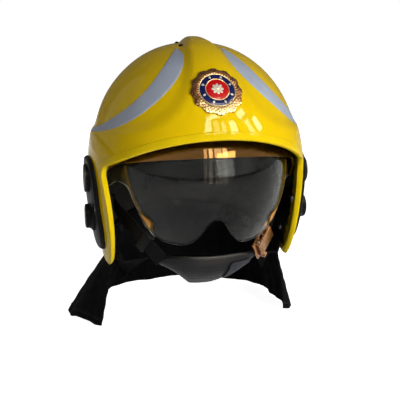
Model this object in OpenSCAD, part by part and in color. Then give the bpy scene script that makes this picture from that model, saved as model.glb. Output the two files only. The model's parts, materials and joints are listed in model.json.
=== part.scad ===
// Open-face fire helmet with two shields, worn by a head whose crown points up.
// Millimetres. X runs to the wearer's left, -Y is the face side, +Z is up.
// The origin is the middle of the head opening, level with the widest part of the shell.

/* [Shell] */
// Half width of the shell at its widest
shell_half_w = 123; // [118:0.5:130]
// Reach of the shell ahead of its widest line
shell_front = 160; // [155:1:168]
// Reach of the shell behind its widest line
shell_rear = 144; // [140:1:152]
// Height of the dome above its widest level
shell_up = 138.5; // [136:0.5:144]
// Depth of the egg below that level, which draws the ear flaps in
shell_down = 235; // [225:5:255]
// How far the widest line lies behind the origin
egg_y = 8.5; // [7:0.5:10]
// Wall of the shell
shell_wall = 4; // [3:0.1:4.6]

/* [Crest and brow] */
// Half width of the crest on top
crest_half_w = 17.5; // [14:0.5:22]
// Height of the crest over the dome
crest_rise = 4.5; // [3.5:0.5:7]
// Height of the brow band over the dome
brow_rise = 1.5; // [0.5:0.1:2.5]
// How far the side panels sink beside the step
panel_sink = 1.6; // [0.5:0.1:2]
// Level of the brow band's upper edge at the sides
brow_top_z = 38; // [32:1:44]
// Size of the curve that joins the crest to the brow band
step_flare = 54; // [40:1:60]
// Size of the same curve behind
step_flare_rear = 30; // [24:1:40]
// Width of the slope between the raised band and a side panel
step_run = 11; // [8:1:16]

/* [Face opening] */
// Level of the brow edge at the middle
brow_z = 48; // [44:1:52]
// Level of the brow edge at the opening's corners
corner_z = 8; // [4:1:12]
// Angle of the corners round from the front
corner_az = 61.8; // [60:0.2:64]
// Level of the ear flaps' lower edge
flap_z = -113; // [-118:1:-108]
// Level of the shell's edge at the nape
nape_z = -94; // [-100:1:-88]
// Height of the trim on the edge
trim_h = 7; // [6:0.5:9]
// Thickness of the trim over the wall
trim_t = 1.2; // [0.8:0.1:1.6]

/* [Shields] */
// How far the hinge axis lies below the origin
hinge_drop = 10; // [8:0.5:12]
// How far inside the shell's half width the eye shield turns
eye_inset = 15; // [14.4:0.2:16]
// How far inside the shell's front reach the eye shield sweeps
eye_front_inset = 36; // [35:0.5:37]
// Wall of the eye shield
eye_wall = 2.2; // [1.8:0.1:2.6]
// How far inside the shell's half width the face shield turns
face_inset = 8.3; // [8:0.1:8.8]
// How far inside the shell's front reach the face shield sweeps
face_front_inset = 29; // [27:0.5:30]
// Wall of the face shield
face_wall = 2.5; // [2:0.1:3]
// Radius of the hinge pins
pin_r = 4; // [3:0.5:5]
// Radial clearance of whatever turns on a pin
run_fit = 0.05; // [0.03:0.01:0.08]
// Radius of the hubs that carry the shields
hub_r = 9; // [8:0.5:10]

/* [Side plates] */
// Thickness of a side plate over the shell
plate_t = 5; // [4:0.5:6]
// How far the two lugs stand out beyond the shell's half width
lug_proud = 8.5; // [7.5:0.5:13]
// Level of the lower lug
lug_z = -58; // [-60:1:-56]
// Bore radius of the accessory insert
insert_r = 3; // [2:0.5:3.5]
// Depth of the accessory insert's bore
insert_deep = 8; // [7:0.5:9]

/* [Inside] */
// Room for foam and gaps between the shell's half width and the head
side_pad = 35; // [33:0.5:37]
// The same ahead of the head
front_pad = 52; // [50:1:54]
// The same behind the head
rear_pad = 32; // [28:1:34]
// The same above the head
top_pad = 34.5; // [32.5:0.5:36.5]
// Gap between the foam and the shell
foam_gap = 1.2; // [1:0.1:1.6]
// Gap between the foam and the shields' sweep
sweep_gap = 2; // [1.5:0.1:3]
// Height of the headband
band_h = 26; // [20:1:32]
// Thickness of the headband
band_t = 1.8; // [1.4:0.1:2.4]
// Travel of the nape cradle
nape_travel = 10; // [6:1:12]
// Width of the chin strap
strap_w = 20; // [16:1:24]
// Thickness of the chin strap
strap_t = 2; // [1.6:0.1:2.6]

/* [Neck cloth] */
// Thickness of the padded cloth
cloth_t = 2.4; // [2:0.2:3]
// Level of the outer cloth's hem at the nape
hem_z = -196; // [-210:1:-180]

/* [Hidden] */
$fn = 48;

hinge = [0, -hinge_drop];
eye_half_w = shell_half_w - eye_inset;
eye_r = shell_front - eye_front_inset;
face_half_w = shell_half_w - face_inset;
face_r = shell_front - face_front_inset;
lug_reach = shell_half_w + lug_proud;
head_half_w = shell_half_w - side_pad;
head_front = shell_front - front_pad;
head_rear = shell_rear - rear_pad;
head_up = shell_up - top_pad;
face_gap = 0.3;

function unit(v) = v / norm(v);
function lerp(a, b, t) = a + (b - a) * t;
function clamp01(t) = max(0, min(1, t));
function smooth(t) = let (u = clamp01(t)) u * u * (3 - 2 * u);
function flip_x(p) = [-p[0], p[1], p[2]];
function bezier3(a, b, c, t) = lerp(lerp(a, b, t), lerp(b, c, t), t);
function bezier4(a, b, c, d, t) = lerp(bezier3(a, b, c, t), bezier3(b, c, d, t), t);

// The egg: how far along d, from its centre, the surface grown by t lies
function egg_reach(d, t) = 1 / norm([
    d[0] / (shell_half_w + t),
    d[1] / ((d[1] < 0 ? shell_front : shell_rear) + t),
    d[2] / ((d[2] > 0 ? shell_up : shell_down) + t)]);
centre = [0, egg_y, 0];
function on_egg(d, t) = centre + d * egg_reach(d, t);

// Point of the egg grown by t, at an angle from the front and at a level, seen from its centre
function at_level(az, z, t = 0) =
    let (h = (z > 0 ? shell_up : shell_down) + t,
         l = (cos(az) > 0 ? shell_front : shell_rear) + t,
         r = sqrt(1 - pow(z / h, 2)) / norm([sin(az) / (shell_half_w + t), cos(az) / l]))
    [r * sin(az), -r * cos(az), z];

// Side of the egg: how far out the surface grown by t lies at a place in the side view
function side_x(y, z, t) =
    let (l = (y < egg_y ? shell_front : shell_rear) + t,
         h = (z > 0 ? shell_up : shell_down) + t)
    (shell_half_w + t) * sqrt(max(0.0001, 1 - pow((y - egg_y) / l, 2) - pow(z / h, 2)));

// The step between the raised band and the side panels: depth into a panel from it
flare_at_top = exp(-(shell_up - brow_top_z) / step_flare);
crest_line = crest_half_w + step_flare * ln(1 - flare_at_top);
function panel_depth(p) =
    let (k = lerp(step_flare_rear, step_flare, smooth((20 - p[1]) / 60)))
    -k * ln(exp(-(abs(p[0]) - crest_line) / k) + exp(-(p[2] - brow_top_z) / k));
panel_fade = 45;
crest_round = 26;
function raise(p) =
    let (depth = panel_depth(p),
         m = smooth(0.5 - depth / step_run),
         high = smooth((p[2] - brow_top_z) / (shell_up - brow_top_z)),
         crest = exp(-pow(p[0] / crest_round, 2)) * high)
    m * (brow_rise + (crest_rise - brow_rise) * crest)
        - (1 - m) * panel_sink * smooth(1 - depth / panel_fade);
function on_shell(d, t) = on_egg(d, t + raise(on_egg(d, 0)));

// The shell's edge from the brow round to the nape, as angle from the front and level
brow_power = 1.3;
brow_end = 55;
function brow_level(az) = corner_z + (brow_z - corner_z) * pow(cos(90 * az / corner_az), brow_power);
front_top = [corner_az - 0.4, corner_z - 13];
front_low = [corner_az + 4.7, flap_z + 9];
tip_end = [corner_az + 15, flap_z];
half_edge = concat(
    [for (i = [0:16]) let (az = brow_end * i / 16) [az, brow_level(az)]],
    [for (i = [1:4]) bezier3([brow_end, brow_level(brow_end)], [corner_az, corner_z], front_top, i / 4)],
    [for (i = [1:8]) bezier4(front_top, [corner_az - 7.3, flap_z + 73], [corner_az - 6.3, flap_z + 33],
        front_low, i / 8)],
    [for (i = [1:4]) bezier3(front_low, [corner_az + 8.7, flap_z - 0.5], tip_end, i / 4)],
    [for (i = [1:14]) let (az = lerp(tip_end[0], 180, i / 14))
        [az, flap_z + (nape_z - flap_z) * smooth((az - 95) / 85)]]);
function mirrored(list) = [for (i = [len(list) - 2:-1:1]) flip_x(list[i])];
edge_half_dirs = [for (e = half_edge) unit(at_level(e[0], e[1]))];
edge_dirs = concat(edge_half_dirs, mirrored(edge_half_dirs));

// Directions fan out over the shell from a pole behind the crown
pole_tilt = 35;
pole = [0, sin(pole_tilt), cos(pole_tilt)];
function arc_angle(e) = acos(pole * e);
function along_arc(e, t) = let (w = arc_angle(e)) (sin((1 - t) * w) * pole + sin(t * w) * e) / sin(w);
// Share of an arc at which the trim's upper edge lies
function trim_share(e, h) = 1 - h / (egg_reach(e, 0) * arc_angle(e) * PI / 180);

// A closed skin through rings of equally many points, each end closed on a middle point
module skin(rings, start, end) {
    n = len(rings[0]);
    m = len(rings);
    points = concat([for (r = rings) each r], [start, end]);
    sides = [for (i = [0:m - 2], j = [0:n - 1], k = [0, 1])
        let (a = i * n + j, b = i * n + (j + 1) % n, c = a + n, d = b + n)
        k == 0 ? [a, b, d] : [a, d, c]];
    caps = concat([for (j = [0:n - 1]) [m * n, (j + 1) % n, j]],
        [for (j = [0:n - 1]) [m * n + 1, (m - 1) * n + j, (m - 1) * n + (j + 1) % n]]);
    polyhedron(points, concat(sides, caps));
}
// The same, joined back to its first ring
module ring_skin(rings) {
    n = len(rings[0]);
    m = len(rings);
    sides = [for (i = [0:m - 1], j = [0:n - 1], k = [0, 1])
        let (i2 = (i + 1) % m, a = i * n + j, b = i * n + (j + 1) % n,
             c = i2 * n + j, d = i2 * n + (j + 1) % n)
        k == 0 ? [a, b, d] : [a, d, c]];
    polyhedron([for (r = rings) each r], sides);
}
function mean(list) = let (n = len(list)) [for (k = [0:2]) [for (p = list) p[k] / n] * [for (p = list) 1]];

module both_sides() {
    children();
    mirror([1, 0, 0]) children();
}
// Cylinder along X between two reaches, at a place in the side view
module along_x(from, to, y, z, r) {
    translate([from, y, z]) rotate([0, 90, 0]) cylinder(r = r, h = to - from);
}

// Vent inserts sit in through slots in the crest's flanks
vent_places = [-14, 12];
vent_size = [4, 12];
vent_turn = 40;
module vent_block(y, grow, h) {
    d = unit([crest_half_w + 2, y - egg_y, shell_up - 4]);
    translate(on_shell(d, 0.6)) rotate([0, vent_turn, 0])
        translate([-vent_size[0] / 2 - grow, -vent_size[1] / 2 - grow, -h])
            cube([vent_size[0] + 2 * grow, vent_size[1] + 2 * grow, h + (grow > 0 ? 4 : 0)]);
}

// Levels of the shell's rows: many outside, where the crest shows, few inside
outer_rows = 23;
inner_rows = 11;
function row_dir(e, j, rows) =
    let (last = trim_share(e, trim_h))
    along_arc(e, j == rows ? 1 : last * (0.04 + 0.96 * (j - 1) / (rows - 2)));

bush_r = hub_r;
bush_fit = 0.05;
screw_places = [[-34, -44], [24, -34], [2, -88]];
screw_r = 2;

module outer_shell() {
    outer = [for (j = [1:outer_rows]) [for (e = edge_dirs) on_shell(row_dir(e, j, outer_rows), 0)]];
    inner = [for (j = [inner_rows:-1:1])
        [for (e = edge_dirs) on_egg(row_dir(e, j, inner_rows), -shell_wall)]];
    color("gold") difference() {
        skin(concat(outer, inner), on_shell(pole, 0), on_egg(pole, -shell_wall));
        both_sides() {
            along_x(shell_half_w - 20, shell_half_w + 10, hinge[0], hinge[1], bush_r + bush_fit);
            for (s = screw_places)
                along_x(shell_half_w - 25, shell_half_w + 10, s[0], s[1], screw_r + 0.2);
            for (y = vent_places)
                vent_block(y, face_gap, 12);
        }
    }
}

// Trim folded over the shell's edge
module edge_trim() {
    sections = [for (e = edge_dirs)
        let (up = row_dir(e, outer_rows - 1, outer_rows),
             a = on_shell(up, 0), b = on_shell(e, 0),
             c = on_egg(e, -shell_wall), d = on_egg(up, -shell_wall),
             down = unit(b - a), out = unit(b - c))
        [a, b, c, d, d - out * trim_t, c - out * trim_t + down * trim_t,
         b + out * trim_t + down * trim_t, a + out * trim_t]];
    color("yellow") ring_skin(sections);
}

// Reflective bands on the side panels, along the step
tape_t = 0.4;
band_fit = 1.15;
function band_mid(u) = bezier4([32.5, -33.5, 160.7], [35.5, -81.2, 151.7], [45.4, -102.4, 25],
    [89, 14, 29.1], u);
band_width = 26;
function band_half(u) = 0.5 + (band_width / 2 - 0.5) * pow(sin(7 + 166 * u), 1.2);
module reflective_bands() {
    rows = 20;
    mids = [for (i = [0:rows]) unit(band_mid(i / rows) - centre)];
    rings = [for (i = [0:rows])
        let (p = on_shell(mids[i], 0),
             q = on_shell(mids[min(rows, i + 1)], 0), o = on_shell(mids[max(0, i - 1)], 0),
             side = unit(cross(unit(q - o), unit(p - centre))), w = band_half(i / rows),
             at = [for (s = [-1, -0.33, 0.33, 1]) unit(p + side * w * s - centre)])
        concat([for (d = at) on_shell(d, band_fit)],
            [for (k = [3:-1:0]) on_shell(at[k], band_fit + tape_t)])];
    color("silver") both_sides() skin(rings, mean(rings[0]), mean(rings[rows]));
}

// Vent inserts with two louvres each
vent_deep = 5;
module crest_vents() {
    color("dimgray") both_sides() for (y = vent_places) vent_block(y, 0, vent_deep);
}

// Scalloped rosette that follows the front of the crest
badge_r = 28;
badge_at = [0, -127, 97];
badge_tall = 1.08;
badge_lobes = 12;
badge_points = 60;
module front_badge() {
    d0 = unit(badge_at);
    p = on_shell(d0, 0);
    across = [1, 0, 0];
    up = unit(cross(across, d0));
    function spot(a, r, t) =
        let (scallop = 1 - 0.07 * pow(sin(a * badge_lobes / 2), 2) * smooth((r - 20) / 8))
        on_shell(unit(p + (across * cos(a) + up * sin(a) * badge_tall) * r * scallop - centre), t);
    function ring(r, t) = [for (i = [0:badge_points - 1]) spot(360 * i / badge_points, r, t)];
    color("darkgoldenrod") skin([ring(10, face_gap), ring(20, face_gap), ring(badge_r, face_gap),
            ring(badge_r, 1.8), ring(badge_r - 2, 2.6), ring(18, 2.6), ring(17, 1.9), ring(12, 1.9),
            ring(11, 3)],
        on_shell(unit(p - centre), face_gap), on_shell(unit(p - centre), 3.4));
}

// Stations along a hinge, from the inside out, on the wearer's left
gap = 0.15;
flange_r = hub_r + 3;
flange_t = 1;
function dome_x(w, r, sweep) = w * sqrt(1 - pow(r / sweep, 2));
eye_flange_out = dome_x(eye_half_w - eye_wall, flange_r, eye_r - eye_wall) - gap;
eye_hub_in = eye_flange_out - 2.4;
eye_hub_out = eye_half_w + 0.5;
face_hub_in = face_half_w - face_wall - 0.6;
face_flange_in = face_half_w + gap;
face_hub_out = face_flange_in + flange_t;
bush_flange_out = side_x(-8, -18, -shell_wall) - 0.4;
bush_flange_in = bush_flange_out - flange_t;
bush_end = side_x(-9, -19, brow_rise) - 0.1;
plate_fit = 0.35;
plate_face = side_x(hinge[0], hinge[1], brow_rise) + plate_t + 0.2;
pin_head = 2;
pin_head_r = 6.5;

// Wall of revolution about the hinge axis, in which a shield turns
module swept_dome(half_w, radius, wall) {
    steps = 30;
    module side(w, r) {
        polygon([for (i = [0:steps]) let (a = 90 - 180 * i / steps) [r * cos(a), w * sin(a)]]);
    }
    translate([0, hinge[0], hinge[1]]) rotate([0, 90, 0]) rotate_extrude($fn = 96) difference() {
        side(half_w, radius);
        side(half_w - wall, radius - wall);
    }
}
// Block through the helmet from an outline given as places along Y and Z
module side_block(half) {
    rotate([90, 0, 90]) linear_extrude(2 * half, center = true) children();
}
// Outline whose corners are rounded by curves that start r before them
function round_outline(pts, r, n = 4) = [for (i = [0:len(pts) - 1])
    let (p = pts[i], q = pts[(i + 1) % len(pts)], o = pts[(i + len(pts) - 1) % len(pts)],
         a = p + unit(o - p) * min(r, norm(o - p) / 2.1), b = p + unit(q - p) * min(r, norm(q - p) / 2.1))
    each [for (k = [0:n]) bezier3(a, p, b, k / n)]];

arm_r = hub_r + 5;
eye_top_z = 58;
eye_low_z = -73.5;
nose_z = -42;
eye_outline = round_outline([[arm_r - 5, -hinge_drop + 9], [-arm_r, 4], [-40, 22], [-64, eye_top_z],
    [-eye_r - 10, eye_top_z], [-eye_r - 10, eye_low_z - 8], [-83, eye_low_z - 8], [-80, -38],
    [-71, -12], [-52, -9], [-22, -hinge_drop - 12], [-6, -hinge_drop - arm_r + 1]], 8);
// Right half of the eye shield's lower edge in the front view, with the nose arch
eye_low_half = concat(
    [for (i = [0:8]) bezier4([0, nose_z], [14, nose_z], [15, eye_low_z], [36, eye_low_z], i / 8)],
    [for (i = [1:5]) bezier3([36, eye_low_z], [58, eye_low_z], [67, eye_low_z + 13], i / 5)],
    [for (i = [1:4]) bezier3([67, eye_low_z + 13], [74, eye_low_z + 27], [eye_half_w + 10, eye_low_z + 33],
        i / 4)]);
module eye_shield() {
    far = len(eye_low_half) - 1;
    color("lightcyan", 0.4) difference() {
        intersection() {
            swept_dome(eye_half_w, eye_r, eye_wall);
            union() {
                side_block(eye_half_w + 5) polygon(eye_outline);
                along_x(-eye_half_w - 5, eye_half_w + 5, hinge[0], hinge[1], arm_r);
            }
        }
        translate([0, -30, 0]) rotate([90, 0, 0]) linear_extrude(eye_r) polygon(concat(eye_low_half,
            [[eye_half_w + 10, eye_low_z - 30], [-eye_half_w - 10, eye_low_z - 30]],
            [for (i = [far:-1:1]) [-eye_low_half[i][0], eye_low_half[i][1]]]));
        along_x(-eye_half_w - 5, eye_half_w + 5, hinge[0], hinge[1], hub_r);
    }
}
module eye_shield_hubs() {
    color("dimgray") both_sides() difference() {
        union() {
            along_x(eye_hub_in, eye_flange_out, hinge[0], hinge[1], flange_r);
            along_x(eye_hub_in, eye_hub_out, hinge[0], hinge[1], hub_r - run_fit);
        }
        along_x(eye_hub_in - 1, eye_hub_out + 1, hinge[0], hinge[1], pin_r + run_fit);
    }
}

face_edge_y = -58;
face_edge_z = 10;
face_edge_slope = 0.235;
face_outline = round_outline([[12, -hinge_drop - 4], [-10, -hinge_drop - arm_r], [-38, 0],
    [face_edge_y, face_edge_z], [-face_r - 10, face_edge_z + face_edge_slope * (face_r + 10 + face_edge_y)],
    [-face_r - 10, face_r + 10], [-20, face_r + 10], [-18, 96], [2, 44], [12, 2]], 8);
module face_shield() {
    color("goldenrod", 0.5) difference() {
        intersection() {
            swept_dome(face_half_w, face_r, face_wall);
            union() {
                side_block(face_half_w + 5) polygon(face_outline);
                along_x(-face_half_w - 5, face_half_w + 5, hinge[0], hinge[1], arm_r);
            }
        }
        along_x(-face_half_w - 5, face_half_w + 5, hinge[0], hinge[1], hub_r);
    }
}
module face_shield_hubs() {
    color("dimgray") both_sides() difference() {
        union() {
            along_x(face_flange_in, face_hub_out, hinge[0], hinge[1], flange_r);
            along_x(face_hub_in, face_hub_out, hinge[0], hinge[1], hub_r - run_fit);
        }
        along_x(face_hub_in - 1, face_hub_out + 1, hinge[0], hinge[1], pin_r + run_fit);
    }
}
module pivot_washers() {
    spans = [[eye_hub_out + gap, face_hub_in - gap], [face_hub_out + gap, bush_flange_in - gap]];
    color("ivory") both_sides() for (w = spans) difference() {
        along_x(w[0], w[1], hinge[0], hinge[1], hub_r);
        along_x(w[0] - 1, w[1] + 1, hinge[0], hinge[1], pin_r + run_fit);
    }
}
module pivot_bushes() {
    color("black") both_sides() difference() {
        union() {
            along_x(bush_flange_in, bush_flange_out, hinge[0], hinge[1], hub_r + 2);
            along_x(bush_flange_in, bush_end, hinge[0], hinge[1], bush_r);
        }
        along_x(bush_flange_in - 1, bush_end + 1, hinge[0], hinge[1], pin_r + run_fit);
    }
}
module hinge_pins() {
    head_out = eye_hub_in - gap;
    color("silver") both_sides() union() {
        along_x(head_out - pin_head, head_out, hinge[0], hinge[1], pin_head_r);
        along_x(head_out - pin_head, plate_face - face_gap, hinge[0], hinge[1], pin_r);
    }
}

// Side plate: a curved cover on the shell with a boss at the hinge and a lower lug
plate_mid = [-5, -44];
plate_half = [37, 54];
plate_square = 3;
plate_points = 40;
lug_r = 14;
lug_y = -12;
cap_r = 16;
cap_at = [-10, -14];
function squarish(a, half, power) =
    pow(pow(abs(cos(a)) / half[0], power) + pow(abs(sin(a)) / half[1], power), -1 / power) * [cos(a), sin(a)];
module plate_shape() {
    function ring(s, t) = [for (i = [0:plate_points - 1])
        let (p = plate_mid + s * squarish(-360 * i / plate_points, plate_half, plate_square))
        [side_x(p[0], p[1], brow_rise + t), p[0], p[1]]];
    x_in = side_x(plate_mid[0], plate_mid[1], brow_rise + plate_fit);
    x_out = side_x(plate_mid[0], plate_mid[1], brow_rise + plate_t);
    skin(concat([for (s = [0.3, 0.6, 0.85, 1]) ring(s, plate_fit)], [ring(0.985, plate_t * 0.6)],
            [for (s = [0.93, 0.65, 0.35]) ring(s, plate_t)]),
        [x_in, plate_mid[0], plate_mid[1]], [x_out, plate_mid[0], plate_mid[1]]);
}
lug_from = side_x(lug_y, lug_z, brow_rise);
lug_edge = 1.5;
module side_plate() {
    difference() {
        union() {
            plate_shape();
            along_x(plate_face - plate_t, plate_face, cap_at[0], cap_at[1], cap_r);
            along_x(lug_from + 2, lug_reach - lug_edge, lug_y, lug_z, lug_r);
            translate([lug_reach - lug_edge, lug_y, lug_z]) rotate([0, 90, 0])
                cylinder(r1 = lug_r, r2 = lug_r - lug_edge, h = lug_edge);
        }
        along_x(shell_half_w - 10, lug_reach, hinge[0], hinge[1], pin_r + 0.2);
        along_x(lug_reach - insert_deep - 2, lug_reach + 1, lug_y, lug_z, insert_r + 2);
        for (s = screw_places) {
            along_x(shell_half_w - 20, lug_reach, s[0], s[1], screw_r + 0.2);
            along_x(screw_seat(s), lug_reach, s[0], s[1], screw_head_r + 0.2);
        }
    }
}
module side_plate_left() {
    color("black") side_plate();
}
module side_plate_right() {
    color("black") mirror([1, 0, 0]) side_plate();
}
screw_head_r = 4;
function screw_seat(s) = side_x(s[0], s[1], brow_rise + plate_t) - 2.4;
function screw_inside(s) = side_x(s[0], s[1], -shell_wall) - 1.9;
module plate_screws() {
    color("silver") both_sides() for (s = screw_places) union() {
        along_x(screw_inside(s) - 2, screw_inside(s), s[0], s[1], screw_head_r);
        along_x(screw_inside(s) - 2, screw_seat(s) + 1.6, s[0], s[1], screw_r);
        along_x(screw_seat(s), screw_seat(s) + 1.6, s[0], s[1], screw_head_r);
    }
}
module accessory_inserts() {
    color("goldenrod") both_sides() difference() {
        along_x(lug_reach - insert_deep - 1.8, lug_reach, lug_y, lug_z, insert_r + 1.95);
        along_x(lug_reach - insert_deep, lug_reach + 1, lug_y, lug_z, insert_r);
    }
}
module lug_caps() {
    edge = 1.5;
    color("#2b2422") both_sides() union() {
        along_x(plate_face, lug_reach - edge, cap_at[0], cap_at[1], cap_r);
        translate([lug_reach - edge, cap_at[0], cap_at[1]]) rotate([0, 90, 0])
            cylinder(r1 = cap_r, r2 = cap_r - edge, h = edge);
    }
}

// The foam, between shell and head, kept clear of the sweep of the shields
foam_edge = [[0, 44], [40, 38], [65, 16], [80, 8], [110, 8], [135, 4], [180, 2]];
foam_half_columns = 28;
foam_rows = 9;
foam_half_dirs = [for (i = [0:foam_half_columns]) let (az = 180 * i / foam_half_columns)
    unit(at_level(az, lookup(az, foam_edge)))];
foam_dirs = concat(foam_half_dirs, mirrored(foam_half_dirs));
// Reach from the egg's centre of a dome that turns on the hinge axis
function sweep_reach(d, w, r) =
    let (y = egg_y - hinge[0], z = -hinge[1],
         a = pow(d[0] / w, 2) + (d[1] * d[1] + d[2] * d[2]) / (r * r),
         b = (y * d[1] + z * d[2]) / (r * r),
         c = (y * y + z * z) / (r * r) - 1)
    (-b + sqrt(b * b - a * c)) / a;
// Share by which a place lies behind the shields' stowed and raised edges
function behind_shields(p) =
    let (y = p[1] - hinge[0], z = p[2] - hinge[1], r = norm([y, z]))
    smooth((atan2(y, z) - lerp(34, 8, smooth((r - 20) / 60))) / 22);
function room_reach(d, in) = 1 / norm([d[0] / (head_half_w - in),
    d[1] / ((d[1] < 0 ? head_front : head_rear) - in), d[2] / (head_up - in)]);
side_room = 6;
function foam_out(d) =
    let (shell = egg_reach(d, -shell_wall - foam_gap),
         sweep = sweep_reach(d, eye_half_w - eye_wall - side_room, eye_r - eye_wall - sweep_gap))
    lerp(min(shell, sweep), shell, behind_shields(centre + d * shell));
clip_at = [egg_y, 17];
clip_pin_r = 3;
clip_pin_deep = 7;
module impact_liner() {
    rows = foam_rows;
    outer = [for (j = [1:rows]) [for (e = foam_dirs)
        let (d = along_arc(e, j / rows)) centre + d * foam_out(d)]];
    inner = [for (j = [rows:-1:1]) [for (e = foam_dirs)
        let (d = along_arc(e, j / rows)) centre + d * room_reach(d, 0)]];
    color("#3a3a3a") difference() {
        skin(concat(outer, inner), centre + pole * foam_out(pole), centre + pole * room_reach(pole, 0));
        both_sides()
            along_x(head_half_w - 8, head_half_w + clip_pin_deep, clip_at[0], clip_at[1], clip_pin_r + 0.2);
    }
}

// Headband with its brow pad; the clips hold it in the foam and the rivets hold the size adjuster
band_in = 6;
band_low = -2;
rivet_r = 1.8;
rivet_levels = [3, 17];
band_out_x = head_half_w - band_in;
band_out_y = egg_y + head_rear - band_in;
function band_oval(in, a) = [(head_half_w - in) * sin(a),
    egg_y - ((cos(a) > 0 ? head_front : head_rear) - in) * cos(a)];
// Strip along the band's oval, from one inset inwards by a thickness
module oval_strip(in, t, from, to, steps) {
    polygon(concat([for (i = [0:steps]) band_oval(in, lerp(from, to, i / steps))],
        [for (i = [steps:-1:0]) band_oval(in + t, lerp(from, to, i / steps))]));
}
module along_y(from, to, x, z, r) {
    translate([x, to, z]) rotate([90, 0, 0]) cylinder(r = r, h = to - from);
}
module headband() {
    color("black") difference() {
        translate([0, 0, band_low]) linear_extrude(band_h) difference() {
            polygon([for (i = [0:63]) band_oval(band_in, 360 * i / 64)]);
            polygon([for (i = [0:63]) band_oval(band_in + band_t, 360 * i / 64)]);
        }
        both_sides() along_x(band_out_x - 6, band_out_x + 2, clip_at[0], clip_at[1], rivet_r + 0.2);
        for (z = rivet_levels) along_y(band_out_y - 6, band_out_y + 2, 0, z, rivet_r + 0.2);
    }
}
brow_pad_t = 4;
module brow_pad() {
    color("#222222") translate([0, 0, band_low - 2]) linear_extrude(band_h + 4)
        oval_strip(band_in + band_t + face_gap, brow_pad_t, -34, 34, 20);
}
module band_clips() {
    clip_out = head_half_w * sqrt(1 - pow((clip_at[1] + 6) / head_up, 2)) - 0.9;
    rivet_in = band_out_x - band_t - face_gap;
    head_y = band_out_y - band_t - face_gap;
    color("silver") {
        both_sides() union() {
            translate([band_out_x + 0.2, clip_at[0] - 11, clip_at[1] - 6])
                cube([clip_out - band_out_x - 0.2, 22, 12]);
            along_x(band_out_x, head_half_w + clip_pin_deep - 1, clip_at[0], clip_at[1], clip_pin_r);
            along_x(rivet_in - 1.2, band_out_x + 1, clip_at[0], clip_at[1], rivet_r);
            along_x(rivet_in - 1.2, rivet_in, clip_at[0], clip_at[1], rivet_r * 2);
        }
        for (z = rivet_levels) union() {
            along_y(head_y - 1.2, housing_back, 0, z, rivet_r);
            along_y(head_y - 1.2, head_y, 0, z, rivet_r * 1.8);
        }
    }
}

// Two crossed straps over the head, one under the other, and the pad above them
crown_w = 16;
crown_t = 1.2;
crown_in = band_in + band_t + face_gap;
module crown_strap(turn, in) {
    steps = 24;
    function spot(a, k, depth) =
        let (d = unit([sin(a) * sin(turn), -sin(a) * cos(turn), cos(a)] * head_up
            + [cos(turn), sin(turn), 0] * k * crown_w / 2))
        centre + d * room_reach(d, in + depth);
    rings = [for (i = [0:steps]) let (a = lerp(-82, 82, i / steps))
        [spot(a, -1, 0), spot(a, 1, 0), spot(a, 1, crown_t), spot(a, -1, crown_t)]];
    skin(rings, mean(rings[0]), mean(rings[steps]));
}
module crown_straps() {
    color("#333333") {
        crown_strap(45, crown_in);
        crown_strap(-45, crown_in + crown_t + face_gap);
    }
}
module crown_pad() {
    points = 32;
    function ring(a, in) = [for (i = [0:points - 1])
        let (b = -360 * i / points, d = [sin(a) * cos(b), sin(a) * sin(b), cos(a)])
        centre + d * room_reach(d, in)];
    up = [0, 0, 1];
    pad_in = crown_in - 0.9;
    rings = [ring(12, pad_in), ring(24, pad_in), ring(26, pad_in / 2), ring(24, 1), ring(12, 1)];
    color("#222222") skin(rings, centre + up * room_reach(up, pad_in), centre + up * room_reach(up, 1));
}

// Size adjuster: a cradle that a knob draws forward along two posts
nape_z0 = -30;
post_x = 14;
post_r = 2.5;
shaft_r = 3;
cradle_in = 12.5;
cradle_t = 2;
cradle_half_h = 22;
cradle_back = egg_y + head_rear - cradle_in;
housing_front = band_out_y + face_gap;
housing_back = housing_front + 2;
housing_end = housing_front + nape_travel + 3;
knob_from = housing_end + face_gap;
module nape_cradle() {
    color("black") union() {
        translate([0, 0, nape_z0 - cradle_half_h]) linear_extrude(2 * cradle_half_h)
            oval_strip(cradle_in, cradle_t, 140, 220, 24);
        both_sides() along_y(cradle_back - cradle_t, housing_end - 0.5, post_x, nape_z0, post_r);
    }
}
module nape_pad() {
    color("#222222") translate([0, 0, nape_z0 - cradle_half_h + 3]) linear_extrude(2 * cradle_half_h - 6)
        oval_strip(cradle_in + cradle_t + face_gap, 4, 144, 216, 20);
}
module ratchet_housing() {
    color("black") difference() {
        union() {
            translate([-22, housing_front, nape_z0 - 16]) cube([44, housing_end - housing_front, 32]);
            translate([-10, housing_front, nape_z0]) cube([20, housing_back - housing_front, 51]);
        }
        both_sides() along_y(housing_front - 1, housing_end + 1, post_x, nape_z0, post_r + run_fit);
        along_y(housing_front - 1, housing_end + 1, 0, nape_z0, shaft_r + run_fit);
        for (z = rivet_levels) along_y(housing_front - 1, housing_end, 0, z, rivet_r + 0.2);
    }
}
knob_r = 16;
knob_t = 9;
module ratchet_knob() {
    color("black") difference() {
        union() {
            along_y(housing_front + 0.5, knob_from + 1, 0, nape_z0, shaft_r);
            along_y(knob_from, knob_from + knob_t, 0, nape_z0, knob_r);
        }
        for (i = [0:11]) translate([0, knob_from + knob_t + 1, nape_z0]) rotate([90, 30 * i, 0])
            translate([knob_r + 0.8, 0, 0]) cylinder(r = 2.2, h = knob_t - 1);
    }
}

// Ear cushions on the inside of the flaps
ear_mid = [6, -67];
ear_half = [28, 15];
ear_square = 2.6;
ear_fit = 1.2;
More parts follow.
